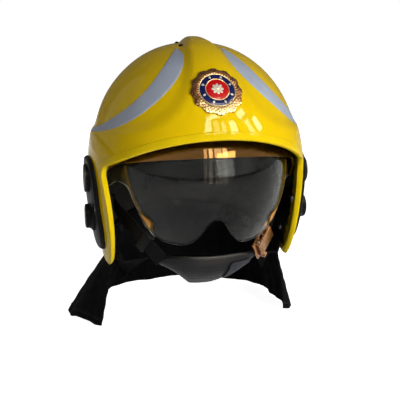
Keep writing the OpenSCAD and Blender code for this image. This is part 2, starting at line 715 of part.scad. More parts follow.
// Rings of an ear cushion: share of its outline and depth from the shell
ear_rings = [[0.3, 14], [0.65, 13], [0.9, 10], [1, 5], [0.95, 2], [0.85, ear_fit], [0.4, ear_fit]];
module ear_pad() {
    points = 32;
    function ring(s, depth) = [for (i = [0:points - 1])
        let (p = ear_mid + s * squarish(-360 * i / points, ear_half, ear_square))
        [side_x(p[0], p[1], -shell_wall) - depth, p[0], p[1]]];
    wall_x = side_x(ear_mid[0], ear_mid[1], -shell_wall);
    skin([for (r = ear_rings) ring(r[0], r[1])],
        [wall_x - 14.4, ear_mid[0], ear_mid[1]], [wall_x - ear_fit, ear_mid[0], ear_mid[1]]);
}
module ear_pad_left() {
    color("#222222") ear_pad();
}
module ear_pad_right() {
    color("#222222") mirror([1, 0, 0]) ear_pad();
}

// Chin strap: webbing from the anchors to the cup, with a buckle on the wearer's left
anchor_at = [-8, -42];
anchor_r = 7;
anchor_inset = 24;
anchor_in = shell_half_w - anchor_inset;
module strap_anchors() {
    color("black") both_sides() union() {
        along_x(anchor_in, side_x(anchor_at[0], anchor_at[1], -shell_wall) - 1.5, anchor_at[0], anchor_at[1],
            anchor_r);
        translate([anchor_in, anchor_at[0] - 11, anchor_at[1] - 9]) cube([2.5, 22, 16]);
    }
}
strap_top = [anchor_in - strap_t / 2 - face_gap - 0.1, anchor_at[0], anchor_at[1]];
// Place on the strap: share of the anchors' reach, depth and level
function at_strap(p) = [p[0] * anchor_in, p[1], p[2]];
strap_places = [[0.975, -17, -46.5], [0.929, -29, -53], [0.848, -44, -61], [0.778, -54.5, -69]];
strap_run = concat([strap_top], [for (p = strap_places) at_strap(p)]);
strap_end = at_strap([0.537, -74, -97.2]);
axis_mid = [0, -20, 0];
function outward(p, t) = let (n = [p[0], p[1] - axis_mid[1], 0]) unit(n - (n * t) * t);
module webbing(path) {
    last = len(path) - 1;
    rings = [for (i = [0:last])
        let (p = path[i], t = unit(path[min(last, i + 1)] - path[max(0, i - 1)]),
             n = outward(p, t) * strap_t / 2, w = cross(t, outward(p, t)) * strap_w / 2)
        [p - w - n, p + w - n, p + w + n, p - w + n]];
    skin(rings, mean(rings[0]), mean(rings[last]));
}
function along_run(k) = lerp(strap_run[4], strap_end, k);
module chin_strap_left() {
    color("#222222") webbing(strap_run);
}
module chin_strap_right() {
    color("#222222") mirror([1, 0, 0])
        webbing(concat(strap_run, [along_run(0.3), along_run(0.6), strap_end]));
}

// Turns that lay a flat piece along t with its face towards n
function aim(t, n) =
    let (tilt = -asin(t[2]), yaw = atan2(t[1], t[0]), y = [-sin(yaw), cos(yaw), 0],
         z = [sin(tilt) * cos(yaw), sin(tilt) * sin(yaw), cos(tilt)])
    [atan2(-(y * n), z * n), tilt, yaw];
run_dir = unit(strap_end - strap_run[4]);
module on_run(k) {
    p = along_run(k);
    translate(p) rotate(aim(run_dir, outward(p, run_dir))) children();
}
module strap_slider() {
    color("black") mirror([1, 0, 0]) on_run(0.32) difference() {
        cube([12, strap_w + 7, strap_t + 4.6], center = true);
        cube([14, strap_w + 1.4, strap_t + 1.4], center = true);
    }
}
buckle_half = [18.5, 14];
buckle_pin_at = [11, 4.4];
buckle_pin_r = 1.5;
buckle_mid = 0.5;
lever_half = 10.2;
module across_run(half, at, r) {
    translate([at[0], half, at[1]]) rotate([90, 0, 0]) cylinder(r = r, h = 2 * half);
}
module buckle_frame() {
    color("goldenrod") on_run(buckle_mid) difference() {
        union() {
            cube([2 * buckle_half[0], 2 * buckle_half[1], 2], center = true);
            for (y = [-buckle_half[1], buckle_half[1] - 3.2])
                translate([buckle_pin_at[0] - 3, y, 0]) cube([6, 3.2, buckle_pin_at[1] + 3]);
        }
        for (x = [-15, -4]) translate([x, -10.5, -2]) cube([7, 21, 4]);
        across_run(buckle_half[1] + 1, buckle_pin_at, buckle_pin_r + run_fit);
    }
}
module buckle_pin() {
    color("silver") on_run(buckle_mid) across_run(buckle_half[1], buckle_pin_at, buckle_pin_r);
}
module buckle_lever() {
    color("goldenrod") on_run(buckle_mid) difference() {
        union() {
            across_run(lever_half, buckle_pin_at, 3);
            translate([-15, -lever_half, buckle_pin_at[1] - 1])
                cube([buckle_pin_at[0] + 15, 2 * lever_half, 2]);
        }
        across_run(lever_half + 1, buckle_pin_at, buckle_pin_r + run_fit);
    }
}

// Chin cup: an arc about the chin, lower in the middle, and the webbing's free end along it
cup_end = 50;
cup_wall = 3;
cup_lean = 5;
cup_low = -98;
function cup_spot(a, v, in) =
    let (q = bezier3([0.734, -91], [0.828, -112], [0.404, -131], v), r = q[0] * anchor_in - in,
         h = lerp(1, 0.5, smooth((abs(a) - 18) / (cup_end - 18))))
    [r * sin(a) - cup_lean * v ^ 2, axis_mid[1] - r * cos(a), lerp(cup_low, q[1], h)];
module chin_cup() {
    rings = [for (i = [0:20]) let (a = lerp(cup_end, -cup_end, i / 20))
        concat([for (j = [0:5]) cup_spot(a, j / 5, 0)],
            [for (j = [5:-1:0]) cup_spot(a, j / 5, cup_wall)])];
    color("#2a2a2a") skin(rings, mean(rings[0]), mean(rings[20]));
}
module strap_tip() {
    rings = [for (i = [0:6]) let (a = lerp(38, 16, i / 6))
        concat([for (v = [0.75, 0.5, 0.2]) cup_spot(a, v, -1.5)],
            [for (v = [0.2, 0.5, 0.75]) cup_spot(a, v, -1.5 - strap_t)])];
    color("#444444") skin(rings, mean(rings[0]), mean(rings[6]));
}

// Neck cloth: an outer cape and an inner collar, clamped under a strip inside the shell's edge
edge_end = tip_end[0];
function rim_level(az) = let (b = az > 180 ? 360 - az : az)
    flap_z + (nape_z - flap_z) * smooth((b - 95) / 85);
function rim(az, up, depth) = centre + at_level(az, rim_level(az) + up, -shell_wall - depth);
guard_in = trim_t + 0.4;
collar_in = guard_in + cloth_t + 0.9;
strip_in = collar_in + cloth_t + face_gap;
strip_t = 1.6;
tuck = 15;
// A sheet between two grids of points: columns along it, rows down it
module sheet_skin(outer, inner) {
    n = len(outer);
    m = len(outer[0]);
    s = n * m;
    faces = concat(
        [for (i = [0:n - 2], j = [0:m - 2], k = [0, 1])
            let (a = i * m + j, b = a + m, c = a + 1, d = b + 1) k == 0 ? [a, b, d] : [a, d, c]],
        [for (i = [0:n - 2], j = [0:m - 2], k = [0, 1])
            let (a = s + i * m + j, b = a + m, c = a + 1, d = b + 1) k == 0 ? [a, d, b] : [a, c, d]],
        [for (i = [0:n - 2], j = [0, m - 1], k = [0, 1])
            let (a = i * m + j, b = a + m, c = a + s, d = b + s)
            j == 0 ? (k == 0 ? [a, d, b] : [a, c, d]) : (k == 0 ? [a, b, d] : [a, d, c])],
        [for (j = [0:m - 2], i = [0, n - 1], k = [0, 1])
            let (a = i * m + j, b = a + 1, c = a + s, d = b + s)
            i == 0 ? (k == 0 ? [a, b, d] : [a, d, c]) : (k == 0 ? [a, d, b] : [a, c, d])]);
    polyhedron([for (g = [outer, inner]) each [for (col = g) each col]], faces);
}
// The grid moved inwards by t along its own normals
function thicken(g, t) = let (n = len(g) - 1, m = len(g[0]) - 1)
    [for (i = [0:n]) [for (j = [0:m])
        let (u = g[min(n, i + 1)][j] - g[max(0, i - 1)][j], v = g[i][min(m, j + 1)] - g[i][max(0, j - 1)])
        g[i][j] + unit(cross(u, v)) * t]];

cape_columns = 54;
// Reach and level of the cape's hem round from the wearer's left front edge to the right one
cape_reach = [[76, 114], [84, 122], [95, 129], [110, 134], [125, 142], [145, 152], [165, 150], [180, 154],
    [200, 152], [220, 152], [240, 156], [254, 160], [265, 155], [274, 138], [284, 118]];
cape_drop = [[76, 9], [84, 1], [95, -2], [180, 0], [250, -1], [258, -3], [267, 6], [276, 2], [284, 4]];
cape_fold = 4;
cape_low = 9;
module neck_guard() {
    grid = [for (i = [0:cape_columns])
        let (az = lerp(edge_end + 1, 359 - edge_end, i / cape_columns), b = rim(az, -2, guard_in),
             r0 = norm([b[0], b[1] - egg_y]),
             r1 = lookup(az, cape_reach) + cape_fold * (sin(az * 9) - 1))
        concat([rim(az, tuck, guard_in), rim(az, 6, guard_in), b],
            [for (j = [1:cape_low - 2])
                let (v = j / (cape_low - 2), r = lerp(r0, r1, pow(v, 0.95)))
                [r * sin(az), egg_y - r * cos(az), lerp(b[2], hem_z + lookup(az, cape_drop), v)]])];
    color("#2a2a2a") difference() {
        sheet_skin(grid, thicken(grid, cloth_t));
        for (az = snap_angles) snap_post(az, 2.2);
    }
}
collar_columns = 44;
collar_from = 64;
// The collar's lower edge: place along X, Y and Z by angle from the front
collar_x = [[64, 61], [78, 76], [95, 88], [120, 84], [150, 50], [180, 0]];
collar_y = [[64, -28], [78, -12], [95, 6], [120, 44], [150, 90], [180, 106]];
collar_z = [[64, -108], [78, -124], [95, -142], [120, -148], [180, -148]];
module neck_collar() {
    grid = [for (i = [0:collar_columns])
        let (az = lerp(collar_from, 360 - collar_from, i / collar_columns), b = az > 180 ? 360 - az : az,
             top = rim(az, 3, collar_in), low = [sign(180 - az) * lookup(b, collar_x), lookup(b, collar_y),
                 lookup(b, collar_z)],
             knee = [top[0] * 0.97, top[1] * 0.97, lerp(top[2], low[2], 0.6)])
        concat([rim(az, tuck, collar_in)], [for (j = [0:4]) bezier3(top, knee, low, j / 4)])];
    color("#333333") difference() {
        sheet_skin(grid, thicken(grid, cloth_t));
        for (az = snap_angles) snap_post(az, 2.2);
    }
}
module neck_strip() {
    grid = [for (i = [0:36]) let (az = lerp(edge_end + 3, 357 - edge_end, i / 36))
        [rim(az, tuck - 1, strip_in), rim(az, 5, strip_in)]];
    color("black") difference() {
        sheet_skin(grid, thicken(grid, strip_t));
        for (az = snap_angles) snap_post(az, 2.2);
    }
}
// Snap fasteners through strip and cloth, square to the rim
snap_angles = [100, 126, 152, 180, 208, 234, 260];
snap_up = 7.5;
module snap_frame(az) {
    p = rim(az, snap_up, 0);
    l = cos(az) > 0 ? shell_front : shell_rear;
    n = unit([p[0] / pow(shell_half_w, 2), (p[1] - egg_y) / pow(l, 2), p[2] / pow(shell_down, 2)]);
    translate(p) rotate([0, 90 - asin(n[2]), atan2(n[1], n[0])]) children();
}
module snap_post(az, r) {
    snap_frame(az) translate([0, 0, -strip_in - strip_t - 3]) cylinder(r = r, h = strip_in + strip_t + 5);
}
module neck_snaps() {
    reach = strip_in + strip_t + 0.8;
    color("silver") for (az = snap_angles) snap_frame(az) union() {
        translate([0, 0, -reach - 1.4]) cylinder(r = 4.5, h = 1.4);
        translate([0, 0, -reach - 1.4]) cylinder(r = 2, h = reach - 0.4);
    }
}

outer_shell();
edge_trim();
reflective_bands();
crest_vents();
front_badge();
side_plate_left();
side_plate_right();
plate_screws();
accessory_inserts();
lug_caps();
pivot_bushes();
hinge_pins();
pivot_washers();
face_shield();
face_shield_hubs();
eye_shield();
eye_shield_hubs();
impact_liner();
crown_pad();
headband();
brow_pad();
crown_straps();
band_clips();
nape_cradle();
nape_pad();
ratchet_housing();
ratchet_knob();
ear_pad_left();
ear_pad_right();
strap_anchors();
chin_strap_left();
chin_strap_right();
chin_cup();
strap_slider();
buckle_frame();
buckle_pin();
buckle_lever();
strap_tip();
neck_strip();
neck_snaps();
neck_guard();
neck_collar();
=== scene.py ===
"""Fire helmet with two shields: the fine shell, badge, plates, shields, padding, straps and neck cloth."""
import json
import math

import bmesh
import bpy
import numpy as np
from mathutils import Matrix, Vector


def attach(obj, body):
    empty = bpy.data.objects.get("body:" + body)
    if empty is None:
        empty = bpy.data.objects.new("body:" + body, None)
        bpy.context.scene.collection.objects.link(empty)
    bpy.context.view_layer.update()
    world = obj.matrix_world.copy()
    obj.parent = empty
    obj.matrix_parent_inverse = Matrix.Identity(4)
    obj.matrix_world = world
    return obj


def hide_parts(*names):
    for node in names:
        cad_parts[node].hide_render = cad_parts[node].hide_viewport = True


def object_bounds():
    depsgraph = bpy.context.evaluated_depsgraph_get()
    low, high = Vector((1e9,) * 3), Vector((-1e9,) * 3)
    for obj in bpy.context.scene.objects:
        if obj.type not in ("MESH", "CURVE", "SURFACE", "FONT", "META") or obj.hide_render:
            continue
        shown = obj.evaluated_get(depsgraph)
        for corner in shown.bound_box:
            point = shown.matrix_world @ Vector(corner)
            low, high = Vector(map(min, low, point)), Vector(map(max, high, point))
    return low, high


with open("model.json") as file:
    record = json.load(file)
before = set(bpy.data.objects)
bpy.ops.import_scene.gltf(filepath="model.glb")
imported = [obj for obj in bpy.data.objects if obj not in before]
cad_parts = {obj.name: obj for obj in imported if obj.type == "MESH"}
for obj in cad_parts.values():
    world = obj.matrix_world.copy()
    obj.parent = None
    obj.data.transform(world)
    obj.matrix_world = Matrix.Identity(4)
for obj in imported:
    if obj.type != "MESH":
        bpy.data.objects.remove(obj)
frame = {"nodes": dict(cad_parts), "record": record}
cad_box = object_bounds()
nodes = frame["nodes"]
body_of_node = {n: b for b, names in frame["record"]["behaviour"]["bodies"].items() for n in names}
scene = bpy.context.scene
scene.view_settings.view_transform = "Standard"
scene.cycles.caustics_reflective = False
scene.cycles.caustics_refractive = False
scene.cycles.sampling_pattern = "TABULATED_SOBOL"

# Sizes, in millimetres and degrees
MM = 0.001
# The egg under the shell: half width, reach to front, rear, top and bottom, and its centre
HALF_W, FRONT, REAR, UP, DOWN, EGG_Y = 123.0, 160.0, 144.0, 138.5, 235.0, 8.5
CENTRE = np.array([0.0, EGG_Y, 0.0])
WALL, TRIM_H, TRIM_T, TRIM_UNDER = 4.0, 7.0, 0.6, 1.7
# Crest, brow band and sunken panels, and how softly they run into one another
CREST_HALF_W, CREST_RISE, BROW_RISE, PANEL_SINK, BROW_TOP_Z = 17.5, 4.5, 1.5, 1.6, 38.0
STEP_FLARE, STEP_FLARE_REAR, STEP_RUN, PANEL_FADE, CREST_ROUND = 54.0, 30.0, 11.0, 45.0, 26.0
FLARE_FROM_Y, FLARE_RUN = 20, 60
# The shell's edge: levels of brow, corner, flaps and nape, and angles from the front where they start
BROW_Z, CORNER_Z, FLAP_Z, NAPE_Z, BROW_CURVE = 48.0, 8.0, -113.0, -94.0, 1.3
BROW_END_AZ, CORNER_AZ, NAPE_FROM_AZ = 55, 61.8, 95
TIP_AZ = CORNER_AZ + 15
# The hinges' place in the side view and the radii of arm ends and hubs, then both shields' domes
HINGE_Y, HINGE_Z, ARM_R, HUB_R = 0.0, -10.0, 14.0, 9.0
EYE_HALF_W, EYE_R, EYE_WALL = 108.0, 124.0, 2.2
FACE_HALF_W, FACE_R, FACE_WALL = 114.7, 131.0, 2.5
# The room for the head
HEAD_HALF_W, HEAD_FRONT, HEAD_REAR, HEAD_UP = 88.0, 108.0, 112.0, 104.0
# Chin strap and neck cloth
STRAP_W, STRAP_T = 20.0, 2.0
CLOTH_T, HEM_Z = 2.4, -196.0


# The form of the helmet
def unit(v):
    return v / np.linalg.norm(v, axis=-1, keepdims=True)


def smooth(t):
    t = np.clip(t, 0, 1)
    return t * t * (3 - 2 * t)


def lerp(a, b, t):
    return a + (b - a) * t


def curve3(a, b, c, t):
    """Curve from a to c that b draws towards itself."""
    return lerp(lerp(a, b, t), lerp(b, c, t), t)


def curve4(a, b, c, d, t):
    """Curve from a to d that b and c draw towards themselves."""
    return lerp(curve3(a, b, c, t), curve3(b, c, d, t), t)


def run_along(path):
    """Way from a path's start to each of its places."""
    return np.concatenate([[0], np.cumsum(np.linalg.norm(np.diff(path, axis=0), axis=1))])


def egg_reach(d, t):
    """How far the egg grown by t lies from its centre along d."""
    x, y, z = d[..., 0], d[..., 1], d[..., 2]
    return 1 / np.sqrt((x / (HALF_W + t)) ** 2 + (y / (np.where(y < 0, FRONT, REAR) + t)) ** 2
                       + (z / (np.where(z > 0, UP, DOWN) + t)) ** 2)


def on_egg(d, t):
    """Place on the egg grown by t, along d."""
    return CENTRE + d * egg_reach(d, t)[..., None]


def at_level(az, z, t=0.0):
    """Point of the egg, seen from its centre, at an angle from the front and a level."""
    az, z = np.asarray(az, float), np.asarray(z, float)
    s, c = np.sin(np.radians(az)), np.cos(np.radians(az))
    h, run = np.where(z > 0, UP, DOWN) + t, np.where(c > 0, FRONT, REAR) + t
    r = np.sqrt(1 - (z / h) ** 2) / np.sqrt((s / (HALF_W + t)) ** 2 + (c / run) ** 2)
    return np.stack([r * s, -r * c, z + 0 * r], -1)


def side_x(y, z, t):
    """Half width of the egg grown by t, at a place in the side view."""
    y, z = np.asarray(y, float), np.asarray(z, float)
    run, h = np.where(y < EGG_Y, FRONT, REAR) + t, np.where(z > 0, UP, DOWN) + t
    return (HALF_W + t) * np.sqrt(np.maximum(1e-4, 1 - ((y - EGG_Y) / run) ** 2 - (z / h) ** 2))


FLARE_AT_TOP = math.exp(-(UP - BROW_TOP_Z) / STEP_FLARE)
CREST_LINE = CREST_HALF_W + STEP_FLARE * math.log(1 - FLARE_AT_TOP)


def raised(p):
    """Height over the egg: the brow band and crest stand up, the side panels sink beside them."""
    flare = lerp(STEP_FLARE_REAR, STEP_FLARE, smooth((FLARE_FROM_Y - p[..., 1]) / FLARE_RUN))
    beside = np.exp(-(np.abs(p[..., 0]) - CREST_LINE) / flare)
    depth = -flare * np.log(beside + np.exp(-(p[..., 2] - BROW_TOP_Z) / flare))
    stands = smooth(0.5 - depth / STEP_RUN)
    high = smooth((p[..., 2] - BROW_TOP_Z) / (UP - BROW_TOP_Z))
    crest = np.exp(-(p[..., 0] / CREST_ROUND) ** 2) * high
    return (stands * (BROW_RISE + (CREST_RISE - BROW_RISE) * crest)
            - (1 - stands) * PANEL_SINK * smooth(1 - depth / PANEL_FADE))


def on_shell(d, t):
    """Place on the shell's outer side along d, or t over it."""
    return on_egg(d, t + raised(on_egg(d, np.zeros(d.shape[:-1]))))


def brow_level(az):
    """Level of the shell's edge over the face."""
    return CORNER_Z + (BROW_Z - CORNER_Z) * np.cos(np.radians(90 * az / CORNER_AZ)) ** BROW_CURVE


def rear_level(az):
    """Level of the shell's edge from a flap round to the nape."""
    return FLAP_Z + (NAPE_Z - FLAP_Z) * smooth((az - NAPE_FROM_AZ) / (180 - NAPE_FROM_AZ))


def shell_edge():
    """Directions all along the shell's edge from the brow's middle round, and the share of the way there."""
    brow = np.linspace(0, BROW_END_AZ, 80)
    rear = np.linspace(TIP_AZ, 180, 60)[1:]
    top = np.array([CORNER_AZ - 0.4, CORNER_Z - 13])
    low = np.array([CORNER_AZ + 4.7, FLAP_Z + 9])
    t = np.linspace(0, 1, 24)[1:, None]
    parts = [np.stack([brow, brow_level(brow)], -1),
             curve3(np.array([BROW_END_AZ, brow_level(BROW_END_AZ)]),
                    np.array([CORNER_AZ, CORNER_Z]), top, t),
             curve4(top, np.array([CORNER_AZ - 7.3, FLAP_Z + 73]),
                    np.array([CORNER_AZ - 6.3, FLAP_Z + 33]), low, t),
             curve3(low, np.array([CORNER_AZ + 8.7, FLAP_Z - 0.5]), np.array([TIP_AZ, FLAP_Z]), t),
             np.stack([rear, rear_level(rear)], -1)]
    az, z = (np.concatenate([part[:, k] for part in parts]) for k in (0, 1))
    half = at_level(az, z)
    ring = np.concatenate([half, half[-2:0:-1] * [-1, 1, 1], half[:1]])
    run = run_along(ring)
    return unit(ring), run / run[-1]


EDGE, EDGE_RUN = shell_edge()


def edge_dir(u):
    """Direction of the shell's edge at a share of the way round."""
    return unit(np.stack([np.interp(u, EDGE_RUN, EDGE[:, k]) for k in range(3)], -1))


POLE_LEAN = math.radians(35)
POLE = np.array([0, math.sin(POLE_LEAN), math.cos(POLE_LEAN)])


def along_arc(e, t):
    """Direction at a share of the arc from the pole, 0, to the edge, 1."""
    w = np.arccos(np.clip(e @ POLE, -1, 1))[..., None]
    t = np.asarray(t)[..., None]
    return (np.sin((1 - t) * w) * POLE + np.sin(t * w) * e) / np.sin(w)


def arc_share(e, h):
    """Share of an arc that lies h millimetres above the edge."""
    return 1 - h / (egg_reach(e, 0.0) * np.arccos(np.clip(e @ POLE, -1, 1)))


# Making meshes
def grid(cols, rows, place, around=False, pattern=(1, 1)):
    """Quads between place(u, v) in millimetres, with a pattern map of the given size."""
    bm = bmesh.new()
    bmesh.ops.create_grid(bm, x_segments=cols, y_segments=rows, size=0.5)
    flat = np.array([v.co for v in bm.verts]) + 0.5
    layer = bm.loops.layers.uv.new("Pattern")
    for face in bm.faces:
        for loop in face.loops:
            loop[layer].uv = ((loop.vert.co.x + 0.5) * pattern[0], (loop.vert.co.y + 0.5) * pattern[1])
    for v, p in zip(bm.verts, place(flat[:, 0], flat[:, 1])):
        v.co = p
    if around:
        bmesh.ops.remove_doubles(bm, verts=bm.verts, dist=0.002)
    return bm


def turned(profile, steps=48):
    """Solid of revolution about X from places (along, radius)."""
    bm = bmesh.new()
    line = [bm.verts.new((x, 0, r)) for x, r in profile]
    edges = [bm.edges.new(pair) for pair in zip(line, line[1:])]
    bmesh.ops.spin(bm, geom=line + edges, cent=(0, 0, 0), axis=(1, 0, 0), angle=2 * math.pi, steps=steps,
                   use_merge=True)
    bmesh.ops.remove_doubles(bm, verts=bm.verts, dist=0.002)
    bmesh.ops.recalc_face_normals(bm, faces=bm.faces)
    return bm


def plate(outline, thick, bevel=0.0):
    """Flat plate in the XY plane from an outline, rising to its thickness."""
    bm = bmesh.new()
    face = bm.faces.new([bm.verts.new((x, y, 0)) for x, y in outline])
    extruded = bmesh.ops.extrude_face_region(bm, geom=[face])["geom"]
    top = [part for part in extruded if isinstance(part, bmesh.types.BMVert)]
    bmesh.ops.translate(bm, verts=top, vec=(0, 0, thick))
    bmesh.ops.recalc_face_normals(bm, faces=bm.faces)
    return eased(bm, bevel)


def block(size, bevel=0.0):
    """Box about the middle of the mesh."""
    bm = bmesh.new()
    bmesh.ops.create_cube(bm, size=1)
    bmesh.ops.scale(bm, vec=size, verts=bm.verts)
    return eased(bm, bevel)


def eased(bm, width, sharp=35, segments=2):
    """Rounds the edges that are sharper than an angle."""
    if width:
        bm.normal_update()
        keen = [e for e in bm.edges if e.calc_face_angle(0) > math.radians(sharp)]
        bmesh.ops.bevel(bm, geom=keen, offset=width, offset_type="OFFSET", segments=segments, profile=0.5,
                        affect="EDGES", clamp_overlap=True, material=-1)
    return bm


def moved(bm, turn=None, to=(0, 0, 0)):
    """The mesh turned and then moved."""
    matrix = Matrix.Translation(to) @ (turn.to_4x4() if turn else Matrix.Identity(4))
    bmesh.ops.transform(bm, matrix=matrix, verts=bm.verts)
    return bm


def joined(parts):
    """One mesh from several, which are used up."""
    whole = bmesh.new()
    for bm in parts:
        carrier = bpy.data.meshes.new("carrier")
        bm.to_mesh(carrier)
        bm.free()
        whole.from_mesh(carrier)
        bpy.data.meshes.remove(carrier)
    return whole


def mirror_image(bm):
    """Mirror image of a mesh across the middle plane."""
    other = bm.copy()
    bmesh.ops.scale(other, vec=(-1, 1, 1), verts=other.verts)
    bmesh.ops.reverse_faces(other, faces=other.faces)
    return other


def mirrored_too(bm):
    """The mesh with its mirror image across the middle plane."""
    return joined([bm, mirror_image(bm)])


def piece(name, bm, finishes, stands_for=(), body=None, crease=32):
    """Object in metres from a mesh in millimetres, with its finishes, riding on its body."""
    stands_for = (stands_for,) if isinstance(stands_for, str) else tuple(stands_for)
    bm.normal_update()
    for face in bm.faces:
        face.smooth = True
    for edge in bm.edges:
        edge.smooth = edge.calc_face_angle(0) < math.radians(crease)
    mesh = bpy.data.meshes.new(name)
    bm.to_mesh(mesh)
    bm.free()
    mesh.transform(Matrix.Scale(MM, 4))
    obj = bpy.data.objects.new(name, mesh)
    scene.collection.objects.link(obj)
    for mat in finishes if isinstance(finishes, (list, tuple)) else [finishes]:
        mesh.materials.append(mat)
    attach(obj, body or (body_of_node[stands_for[0]] if stands_for else "helmet"))
    if stands_for:
        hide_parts(*stands_for)
    return obj


def settled(obj):
    """Applies the object's modifiers."""
    bpy.context.view_layer.update()
    fixed = bpy.data.meshes.new_from_object(obj.evaluated_get(bpy.context.evaluated_depsgraph_get()))
    old = obj.data
    obj.modifiers.clear()
    obj.data = fixed
    bpy.data.meshes.remove(old)
    return obj


def working_object(bm):
    """Object that holds a mesh while a modifier works; the mesh given is used up."""
    mesh = bpy.data.meshes.new("working")
    bm.to_mesh(mesh)
    bm.free()
    obj = bpy.data.objects.new("working", mesh)
    scene.collection.objects.link(obj)
    return obj


def worked(bm, kind, **settings):
    """The mesh after a modifier; the mesh given is used up."""
    obj = working_object(bm)
    step = obj.modifiers.new("step", kind)
    for key, value in settings.items():
        setattr(step, key, value)
    settled(obj)
    result = bmesh.new()
    result.from_mesh(obj.data)
    bpy.data.objects.remove(obj)
    return result


def cut(bm, tool, how="DIFFERENCE"):
    """The mesh after a boolean with a tool mesh; both are used up."""
    other = working_object(tool)
    result = worked(bm, "BOOLEAN", operation=how, object=other, solver="MANIFOLD")
    bpy.data.objects.remove(other)
    return result


def from_node(name):
    """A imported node's mesh in millimetres, merged and with its flat faces whole."""
    bm = bmesh.new()
    bm.from_mesh(nodes[name].data)
    bmesh.ops.scale(bm, vec=(1000, 1000, 1000), verts=bm.verts)
    bmesh.ops.remove_doubles(bm, verts=bm.verts, dist=0.004)
    bmesh.ops.dissolve_limit(bm, angle_limit=math.radians(1.5), verts=bm.verts, edges=bm.edges)
    return bm


def faced(bm, away_from):
    """Turns the faces of an open sheet away from a place."""
    bm.normal_update()
    lean = sum((f.calc_center_median() - Vector(away_from)).dot(f.normal) for f in bm.faces)
    if lean < 0:
        bmesh.ops.reverse_faces(bm, faces=bm.faces)
    return bm


def walled(bm, thick):
    """Thickness behind an open sheet."""
    return worked(bm, "SOLIDIFY", thickness=thick, offset=-1, use_even_offset=True, use_rim=True)


def closed(bm):
    """The mesh with its open ends filled and its faces turned outwards."""
    bmesh.ops.holes_fill(bm, edges=bm.edges)
    bmesh.ops.recalc_face_normals(bm, faces=bm.faces)
    return bm


def evenly(path, step):
    """Places along a path at an even spacing near the one given."""
    path = np.array(path, float)
    run = run_along(path)
    at = np.linspace(0, run[-1], max(2, int(round(run[-1] / step)) + 1))
    return np.stack([np.interp(at, run, path[:, k]) for k in range(path.shape[1])], -1)


def path_length(path):
    return float(np.linalg.norm(np.diff(np.array(path, float), axis=0), axis=1).sum())


def swept(path, out, section):
    """Closed solid along a path. section gives places (across, outwards) round its outline."""
    path, out = np.array(path, float), np.array(out, float)
    ahead = unit(np.gradient(path, axis=0))
    out = unit(out - (out * ahead).sum(1, keepdims=True) * ahead)
    across = np.cross(ahead, out)
    shape = np.array(section, float)
    n, m = len(path) - 1, len(shape)
    girth = path_length(np.concatenate([shape, shape[:1]]))

    def place(u, v):
        i, j = np.rint(u * n).astype(int), np.rint(v * m).astype(int) % m
        return path[i] + across[i] * shape[j, :1] + out[i] * shape[j, 1:]
    return closed(grid(n, m, place, around=True, pattern=(path_length(path), girth)))


def strap_section(width, thick, steps=12):
    """Flat section with round edges."""
    half, r = width / 2 - thick / 2, thick / 2
    flat = np.linspace(-half, half, steps)
    edge = [math.radians(a) for a in (60, 30, 0, -30, -60)]
    return ([(x, r) for x in flat] + [(half + r * math.cos(a), r * math.sin(a)) for a in edge]
            + [(x, -r) for x in flat[::-1]] + [(-half - r * math.cos(a), -r * math.sin(a)) for a in edge])


def stitches(path, out, step=4.2, long=2.7, r=0.32):
    """Row of thread along a path, each stitch lying on the face that looks outwards."""
    both = evenly(np.concatenate([np.array(path, float), np.array(out, float)], axis=1), step)
    ahead = unit(np.gradient(both[:, :3], axis=0))
    bm = bmesh.new()
    for p, n, t in zip(both[:, :3], unit(both[:, 3:]), ahead):
        w = unit(np.cross(n, t))
        turn = Matrix((t * long / 2, w * r, np.cross(t, w) * r * 0.8)).transposed().to_4x4()
        bmesh.ops.create_icosphere(bm, subdivisions=1, radius=1, matrix=Matrix.Translation(p) @ turn)
    return bm


def mapped(bm, place):
    """Moves each vertex to place(x, y, z), which works on arrays."""
    at = np.array([v.co for v in bm.verts])
    for v, p in zip(bm.verts, place(at[:, 0], at[:, 1], at[:, 2])):
        v.co = p
    return bm


# Finishes
PLAIN_GRAIN = 0.0003
# How often a wave texture of scale 1 repeats in one unit
WAVES_PER_UNIT = 3.2


def add(tree, kind, inputs=None, **settings):
    """New shader node, its inputs given as values or as the sockets that feed them."""
    node = tree.nodes.new("ShaderNode" + kind)
    for key, value in settings.items():
        setattr(node, key, value)
    for key, value in (inputs or {}).items():
        if isinstance(value, bpy.types.NodeSocket):
            tree.links.new(value, node.inputs[key])
        else:
            node.inputs[key].default_value = value
    return node


def ramp(tree, fac, stops):
    """Colour of a ramp through pairs of place and colour."""
    node = add(tree, "ValToRGB", {"Fac": fac})
    elements = node.color_ramp.elements
    while len(elements) < len(stops):
        elements.new(0.5)
    for element, (at, colour) in zip(elements, stops):
        element.position, element.color = at, (*colour, 1)
    return node.outputs["Color"]


def shade(colour, by):
    return tuple(min(1.0, c * by) for c in colour)


